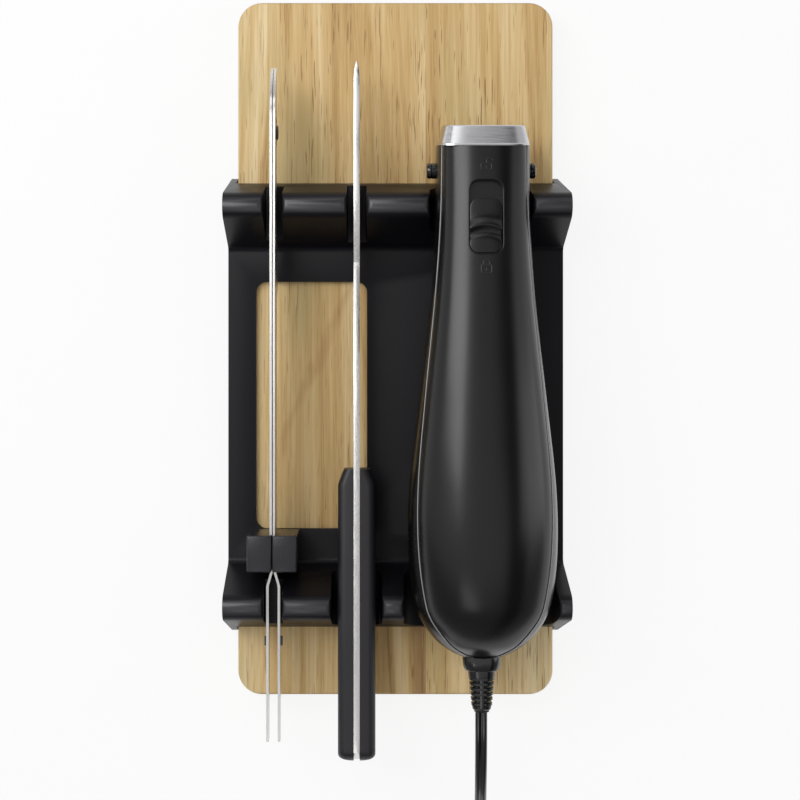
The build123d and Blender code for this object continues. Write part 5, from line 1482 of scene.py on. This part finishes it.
def power_cord():
    look = looks("cord")
    path = spline_path(cord_points(look))
    outline = twin_section(look.width, look.height)
    rings = []
    for index, point in enumerate(path):
        before = path[max(index - 1, 0)]
        after = path[min(index + 1, len(path) - 1)]
        run = (after - before).normalized()
        side = run.cross(Vector((0, 0, 1))).normalized()
        lift = side.cross(run).normalized()
        rings.append([point + side * x + lift * rise for x, rise in outline])
    cord = mesh_piece("mains_cord", *skin(rings), finishes["cord"], sharp=50)
    place_on(cord, "knife", "cord_vinyl", "power_cord", "cord_coil")
    tie = coil_tie(look)
    plug = plug_moulding()


def coil_tie(look):
    """Strap closed round the coil's bundle"""
    low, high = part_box("cord_tie")
    middle_x = (low.x + high.x) / 2
    top = look.layer_high + look.height / 2 + 0.9 * MM
    bottom = 0.15 * MM
    width = high.y - low.y - 1.0 * MM
    height = top - bottom
    centre = ((low.y + high.y) / 2, (top + bottom) / 2)
    rings = []
    for inset, half in ((0, 3.2), (0, -3.2), (0.35, -3.5), (0.75, -3.2), (0.75, 3.2), (0.35, 3.5)):
        outline = rounded_outline(width - 2 * inset * MM, height - 2 * inset * MM,
                                  (2.4 - inset) * MM, 6)
        rings.append([(middle_x + half * MM, centre[0] + y, centre[1] + z) for y, z in outline])
    rings.append(rings[0])
    tie = mesh_piece("cord_strap", *skin(rings, capped=False), finishes["tie"], sharp=40)
    return place_on(tie, "knife", "tie_plastic", "cord_tie")


def plug_moulding():
    """Two pin plug, drawn in at the cord, with grip ribs on its sides"""
    low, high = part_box("plug_body")
    middle_x = (low.x + high.x) / 2
    length = high.y - low.y
    axis_z = (low.z + high.z) / 2
    rows = (
        (0.000, 0.30, 0.36, -0.30), (0.010, 0.40, 0.44, -0.30),
        (0.16, 0.44, 0.48, -0.24), (0.17, 0.40, 0.42, -0.24),
        (0.22, 0.40, 0.42, -0.20), (0.23, 0.48, 0.52, -0.20),
        (0.34, 0.56, 0.64, -0.10), (0.42, 0.70, 0.82, -0.02),
        (0.50, 0.86, 0.96, 0.0), (0.58, 0.92, 0.99, 0.0),
        (0.64, 0.86, 0.99, 0.0), (0.70, 0.84, 0.99, 0.0),
        (0.78, 0.90, 0.99, 0.0), (0.86, 0.98, 0.99, 0.0),
        (0.96, 0.99, 0.99, 0.0), (0.99, 0.97, 0.97, 0.0),
        (1.00, 0.92, 0.90, 0.0),
    )
    width, height = high.x - low.x, high.z - low.z
    rings = []
    for share, wide, tall, drop in rows:
        outline = rounded_outline(width * wide, height * tall,
                                  min(width * wide, height * tall) * 0.34, 6)
        half = height * tall / 2
        z = max(low.z + half, axis_z + drop * height)
        rings.append([(middle_x + x, low.y + length * share, z + rise) for x, rise in outline])
    plug = mesh_piece("plug_moulding", *skin(rings), finishes["plug"], sharp=38)
    return place_on(plug, "knife", "plug_vinyl", "plug_body")


# Finishes by name, filled before the pieces are made
finishes = {}

INNER_FINISHES = {}


def make_finishes():
    knife = looks("knife")
    steel = looks("steel")
    cord = looks("cord")
    black = tuple(knife.black)
    finishes["wood"] = board_wood(looks("board"))
    finishes["tray"] = painted_highlight_tray(looks("tray"))
    finishes["housing"] = moulded("housing_plastic", black, 0.235, 0.275, 0.60 * MM, 0.006 * MM)
    finishes["mark"] = moulded("mark_plastic", (0.020, 0.020, 0.021), 0.25, 0.33, 0.60 * MM,
                               0.006 * MM)
    # Pale grey bead plastic: a painted highlight along the seam
    finishes["bead"] = moulded("bead_plastic", (0.270, 0.270, 0.275), 0.16, 0.22, 0.60 * MM,
                               0.003 * MM, coat=0.8)
    finishes["button"] = moulded("button_plastic", (0.003, 0.003, 0.0035), 0.09, 0.13, 0.60 * MM,
                                 0.004 * MM, coat=0.3)
    finishes["guard"] = moulded("guard_plastic", (0.013, 0.012, 0.015), 0.20, 0.28, 0.60 * MM,
                                0.008 * MM)
    finishes["scale"] = moulded("scale_plastic", (0.013, 0.012, 0.015), 0.36, 0.46, 0.45 * MM,
                                0.04 * MM)
    finishes["pad"] = moulded("pad_rubber", (0.030, 0.030, 0.030), 0.70, 0.85, 0.50 * MM, 0.06 * MM)
    finishes["relief"] = moulded("relief_rubber", tuple(cord.black), 0.22, 0.30, 0.50 * MM,
                                 0.010 * MM, coat=0.6)
    finishes["cord"] = moulded("cord_vinyl", tuple(cord.black), 0.10, 0.15, 0.70 * MM, 0.004 * MM,
                               coat=1.0)
    finishes["plug"] = moulded("plug_vinyl", tuple(cord.black), 0.34, 0.46, 0.50 * MM, 0.02 * MM)
    finishes["tie"] = moulded("tie_plastic", (0.045, 0.045, 0.047), 0.42, 0.52, 0.50 * MM,
                              0.02 * MM)
    finishes["blade"] = brushed("blade_steel", tuple(steel.steel), 0.22, 0.36,
                                (1500.0, 14.0, 2600.0), 0.003 * MM)
    # Near black stud steel: painted shade on the blade's stud and on the other blade steel nodes
    finishes["stud"] = brushed("stud_steel", (0.085, 0.080, 0.082), 0.30, 0.42,
                               (900.0, 900.0, 900.0))
    finishes["fork"] = brushed("fork_steel", tuple(steel.steel), 0.22, 0.34,
                               (1300.0, 12.0, 2200.0), 0.003 * MM)
    finishes["collar"] = brushed("collar_metal", tuple(knife.collar), 0.18, 0.27,
                                 (60.0, 2600.0, 60.0), 0.012 * MM)
    INNER_FINISHES.update({
        # Carried over nodes of the blade steel slot take the same near black steel, painted shade
        "blade_steel": finishes["stud"],
        "rivet_steel": brushed("rivet_steel", (0.70, 0.70, 0.70), 0.18, 0.30,
                               (200.0, 1500.0, 1500.0)),
        "spring_steel": brushed("spring_steel", (0.58, 0.58, 0.60), 0.25, 0.38,
                                (900.0, 900.0, 900.0)),
        "can_steel": brushed("can_steel", (0.62, 0.63, 0.65), 0.28, 0.42, (900.0, 60.0, 900.0)),
        "shaft_steel": brushed("shaft_steel", (0.70, 0.70, 0.72), 0.15, 0.26,
                               (200.0, 2200.0, 200.0)),
        "frame_steel": brushed("frame_steel", (0.60, 0.61, 0.63), 0.30, 0.44, (60.0, 900.0, 900.0)),
        "screw_steel": brushed("screw_steel", (0.52, 0.52, 0.54), 0.28, 0.42, (900.0, 900.0, 90.0)),
        "bush_bronze": brushed("bush_bronze", (0.62, 0.44, 0.22), 0.34, 0.50,
                               (900.0, 900.0, 900.0)),
        "prong_brass": brushed("prong_brass", (0.76, 0.66, 0.42), 0.20, 0.32, (900.0, 60.0, 900.0)),
        "magnet_ferrite": moulded("magnet_ferrite", (0.055, 0.055, 0.060), 0.50, 0.68, 0.30 * MM,
                                  0.03 * MM),
        "core_steel": banded("core_steel", (0.10, 0.10, 0.11), (0.34, 0.34, 0.36), 0.5 * MM, 1,
                             0.9, 0.40),
        "winding_copper": banded("winding_copper", (0.24, 0.07, 0.025), (0.72, 0.30, 0.12),
                                 0.45 * MM, 2, 0.8, 0.28),
        "commutator_copper": banded("commutator_copper", (0.40, 0.20, 0.10), (0.82, 0.46, 0.26),
                                    1.2 * MM, 1, 1.0, 0.24),
        "brush_carbon": moulded("brush_carbon", (0.03, 0.03, 0.03), 0.62, 0.78, 0.25 * MM,
                                0.03 * MM),
        "cap_plastic": moulded("cap_plastic", (0.05, 0.05, 0.055), 0.45, 0.58, 0.50 * MM,
                               0.03 * MM),
        "switch_plastic": moulded("switch_plastic", (0.045, 0.045, 0.045), 0.40, 0.52, 0.50 * MM,
                                  0.03 * MM),
        "fan_plastic": moulded("fan_plastic", (0.72, 0.71, 0.67), 0.38, 0.50, 0.60 * MM, 0.02 * MM),
        "gear_nylon": moulded("gear_nylon", (0.76, 0.73, 0.64), 0.34, 0.46, 0.60 * MM, 0.02 * MM),
        "yoke_nylon": moulded("yoke_nylon", (0.66, 0.64, 0.58), 0.36, 0.48, 0.60 * MM, 0.02 * MM),
        "guide_plastic": moulded("guide_plastic", (0.016, 0.016, 0.017), 0.42, 0.54, 0.50 * MM,
                                 0.02 * MM),
        "circuit_laminate": circuit_laminate(),
        "trigger_plastic": finishes["scale"],
    })


def dress_inner_works():
    """Gives each carried over node the finish of its slot"""
    for entry in frame["record"]["subparts"]:
        node = frame["nodes"][entry["node"]]
        finish = INNER_FINISHES.get(entry["material_slot"])
        if finish and not node.hide_render:
            paint(node, finish)
            for polygon in node.data.polygons:
                polygon.material_index = 0


# Stage

def stage_floor(look):
    """Pale floor that shows white to the camera and in mirrors, and keeps the object's shadow"""
    size = 4.0
    ring = [(-size, -size, 0), (size, -size, 0), (size, size, 0), (-size, size, 0)]
    finish = Finish("stage_floor")
    path = finish.node("ShaderNodeLightPath").socket.node
    seen = Wire(finish, path.outputs["Is Camera Ray"])
    mirrored = Wire(finish, path.outputs["Is Glossy Ray"])
    through = Wire(finish, path.outputs["Is Transmission Ray"])
    speck = finish.noise(finish.place(), scale=40.0, detail=2.0)
    pale = finish.mix(finish.ramp(speck, 0.3, 0.7), look.floor, [c * 0.985 for c in look.floor])
    plain = finish.node("ShaderNodeBsdfPrincipled", None, {"Base Color": pale, "Roughness": 0.9})
    glow = finish.node("ShaderNodeEmission", None, {"Color": (1, 1, 1), "Strength": 1.0})
    white = (seen + mirrored + through).maths("MINIMUM", seen + mirrored + through, 1.0) * 0.86
    mixed = finish.node("ShaderNodeMixShader", None, {0: white, 1: plain, 2: glow})
    finish.node("ShaderNodeOutputMaterial", None, {0: mixed})
    floor = mesh_piece("floor", ring, [(0, 1, 2, 3)], finish.material)


def stage_sky(look):
    """White to the camera, plain light for shade, and in mirrors a band of dark beside the light"""
    world = bpy.data.worlds.new("sky")
    bpy.context.scene.world = world
    world.use_nodes = True
    sky = Finish.__new__(Finish)
    sky.tree = world.node_tree
    sky.tree.nodes.clear()
    path = sky.node("ShaderNodeLightPath").socket.node
    x, y, z = sky.axes(sky.node("ShaderNodeTexCoord", output="Generated"))
    above = z.maths("MAXIMUM", z, 0.02)
    ahead = y / above
    lean = x / above + ahead.maths("MAXIMUM", ahead, 0.0) * 1.1
    band = sky.ramp(lean, 0.32, 0.46) * sky.ramp(lean, 1.05, 1.30, 1.0, 0.0)
    sides = sky.ramp(z, 0.0, 0.45, look.side_sky, look.mirror_sky)
    sides = sides * sky.ramp(ahead, -0.60, -0.25, 0.35, 1.0)
    mirror = sides * (1.0 - band * 0.97)
    plain = sky.node("ShaderNodeBackground", None, {"Color": (1, 1, 1), "Strength": look.sky})
    mirrored = sky.node("ShaderNodeBackground", None, {"Color": (1, 1, 1), "Strength": mirror})
    white = sky.node("ShaderNodeBackground", None, {"Color": (1, 1, 1), "Strength": 1.0})
    glossy = Wire(sky, path.outputs["Is Glossy Ray"])
    seen = Wire(sky, path.outputs["Is Camera Ray"])
    shade = sky.node("ShaderNodeMixShader", None, {0: glossy, 1: plain, 2: mirrored})
    sky.node("ShaderNodeOutputWorld", None,
             {0: sky.node("ShaderNodeMixShader", None, {0: seen, 1: shade, 2: white})})


def soft_lamp(name, place, target, size, radiance):
    """Rectangular lamp aimed at a point, set by the brightness of its face"""
    lamp = bpy.data.lights.new(name, "AREA")
    lamp.shape = "RECTANGLE"
    lamp.size, lamp.size_y = size
    lamp.energy = radiance * math.pi * size[0] * size[1]
    holder = bpy.data.objects.new(name, lamp)
    bpy.context.scene.collection.objects.link(holder)
    holder.location = place
    aim = Vector(target) - Vector(place)
    holder.rotation_euler = aim.to_track_quat("-Z", "Y").to_euler()


def stage_camera():
    camera = bpy.data.cameras.new("camera")
    camera.lens = 65.6
    camera.sensor_width = 36.0
    camera.shift_x = 0.05
    camera.shift_y = -0.03125
    camera.clip_start = 0.01
    holder = bpy.data.objects.new("camera", camera)
    holder.location = (-17.07 * MM, -0.3 * MM, 717.5 * MM)
    holder.rotation_euler = (0, 0, 0)
    bpy.context.scene.collection.objects.link(holder)
    bpy.context.scene.camera = holder


# Operators

class StageOperator(bpy.types.Operator):
    """Sets the floor, the sky, the lamps and the camera"""

    bl_idname = "carving_set.stage"
    bl_label = "Stage"

    def execute(self, context):
        look = looks("stage")
        stage_floor(look)
        stage_sky(look)
        soft_lamp("lamp_left", (-0.44, 0.27, 0.78), (0.03, 0.05, 0.05), (0.38, 0.70), 4.2)
        soft_lamp("lamp_right", (0.95, 0.0, 0.44), (0.03, 0.0, 0.05), (0.30, 1.2), 1.2)
        soft_lamp("lamp_front", (-0.10, 0.62, 0.74), (0.03, 0.10, 0.05), (0.36, 0.24), 1.7)
        soft_lamp("lamp_rear", (-0.12, -0.46, 0.80), (-0.03, -0.09, 0.05), (0.26, 0.12), 1.8)
        stage_camera()
        scene = context.scene
        scene.view_settings.view_transform = "Standard"
        return {"FINISHED"}


class FinishOperator(bpy.types.Operator):
    """Makes the finishes of all pieces"""

    bl_idname = "carving_set.finishes"
    bl_label = "Finishes"

    def execute(self, context):
        make_finishes()
        return {"FINISHED"}


class TrayOperator(bpy.types.Operator):
    """Builds the storage tray with its feet"""

    bl_idname = "carving_set.tray"
    bl_label = "Storage tray"

    def execute(self, context):
        storage_tray()
        rubber_feet()
        return {"FINISHED"}


class BoardOperator(bpy.types.Operator):
    """Builds the carving board"""

    bl_idname = "carving_set.board"
    bl_label = "Carving board"

    def execute(self, context):
        carving_board()
        return {"FINISHED"}


class BladesOperator(bpy.types.Operator):
    """Builds both blades with the halves of their guard"""

    bl_idname = "carving_set.blades"
    bl_label = "Blades"

    def execute(self, context):
        for side in (-1, 1):
            toothed_blade(side)
            hand_guard(side)
        return {"FINISHED"}


class ForkOperator(bpy.types.Operator):
    """Builds the carving fork"""

    bl_idname = "carving_set.fork"
    bl_label = "Carving fork"

    def execute(self, context):
        carving_fork()
        return {"FINISHED"}


class HandleOperator(bpy.types.Operator):
    """Builds the powered handle's outside"""

    bl_idname = "carving_set.handle"
    bl_label = "Powered handle"

    def execute(self, context):
        knife_covers()
        front_collar()
        lock_switch()
        padlock_marks()
        release_buttons()
        return {"FINISHED"}


class CordOperator(bpy.types.Operator):
    """Builds the strain relief, the cord with its coil and strap, and the plug"""

    bl_idname = "carving_set.cord"
    bl_label = "Cord and plug"

    def execute(self, context):
        strain_relief()
        power_cord()
        return {"FINISHED"}


class InnerOperator(bpy.types.Operator):
    """Gives the motor, the drive and the small hardware their finishes"""

    bl_idname = "carving_set.inner"
    bl_label = "Inner works"

    def execute(self, context):
        dress_inner_works()
        return {"FINISHED"}


class CarvingSetPanel(bpy.types.Panel):
    """Lists the set's pieces"""

    bl_idname = "VIEW3D_PT_carving_set"
    bl_label = "Carving Set"
    bl_space_type = "VIEW_3D"
    bl_region_type = "UI"
    bl_category = "Carving Set"

    def draw(self, context):
        for operator in OPERATORS:
            self.layout.operator(operator.bl_idname)


GROUPS = {
    "tray": TraySizes,
    "board": BoardLook,
    "knife": KnifeLook,
    "steel": SteelLook,
    "cord": CordLook,
    "stage": StageLook,
}
OPERATORS = (FinishOperator, CordOperator, TrayOperator, BoardOperator, BladesOperator,
             ForkOperator,
             HandleOperator, InnerOperator, StageOperator)


def register():
    for name, group in GROUPS.items():
        bpy.utils.register_class(group)
        setattr(bpy.types.Scene, "carving_set_" + name, bpy.props.PointerProperty(type=group))
    for operator in OPERATORS:
        bpy.utils.register_class(operator)
    bpy.utils.register_class(CarvingSetPanel)


def unregister():
    bpy.utils.unregister_class(CarvingSetPanel)
    for operator in reversed(OPERATORS):
        bpy.utils.unregister_class(operator)
    for name, group in GROUPS.items():
        delattr(bpy.types.Scene, "carving_set_" + name)
        bpy.utils.unregister_class(group)


def main():
    register()
    bpy.ops.carving_set.finishes()
    bpy.ops.carving_set.cord()
    bpy.ops.carving_set.tray()
    bpy.ops.carving_set.board()
    bpy.ops.carving_set.blades()
    bpy.ops.carving_set.fork()
    bpy.ops.carving_set.handle()
    bpy.ops.carving_set.inner()
    bpy.ops.carving_set.stage()


if __name__ == "__main__":
    main()
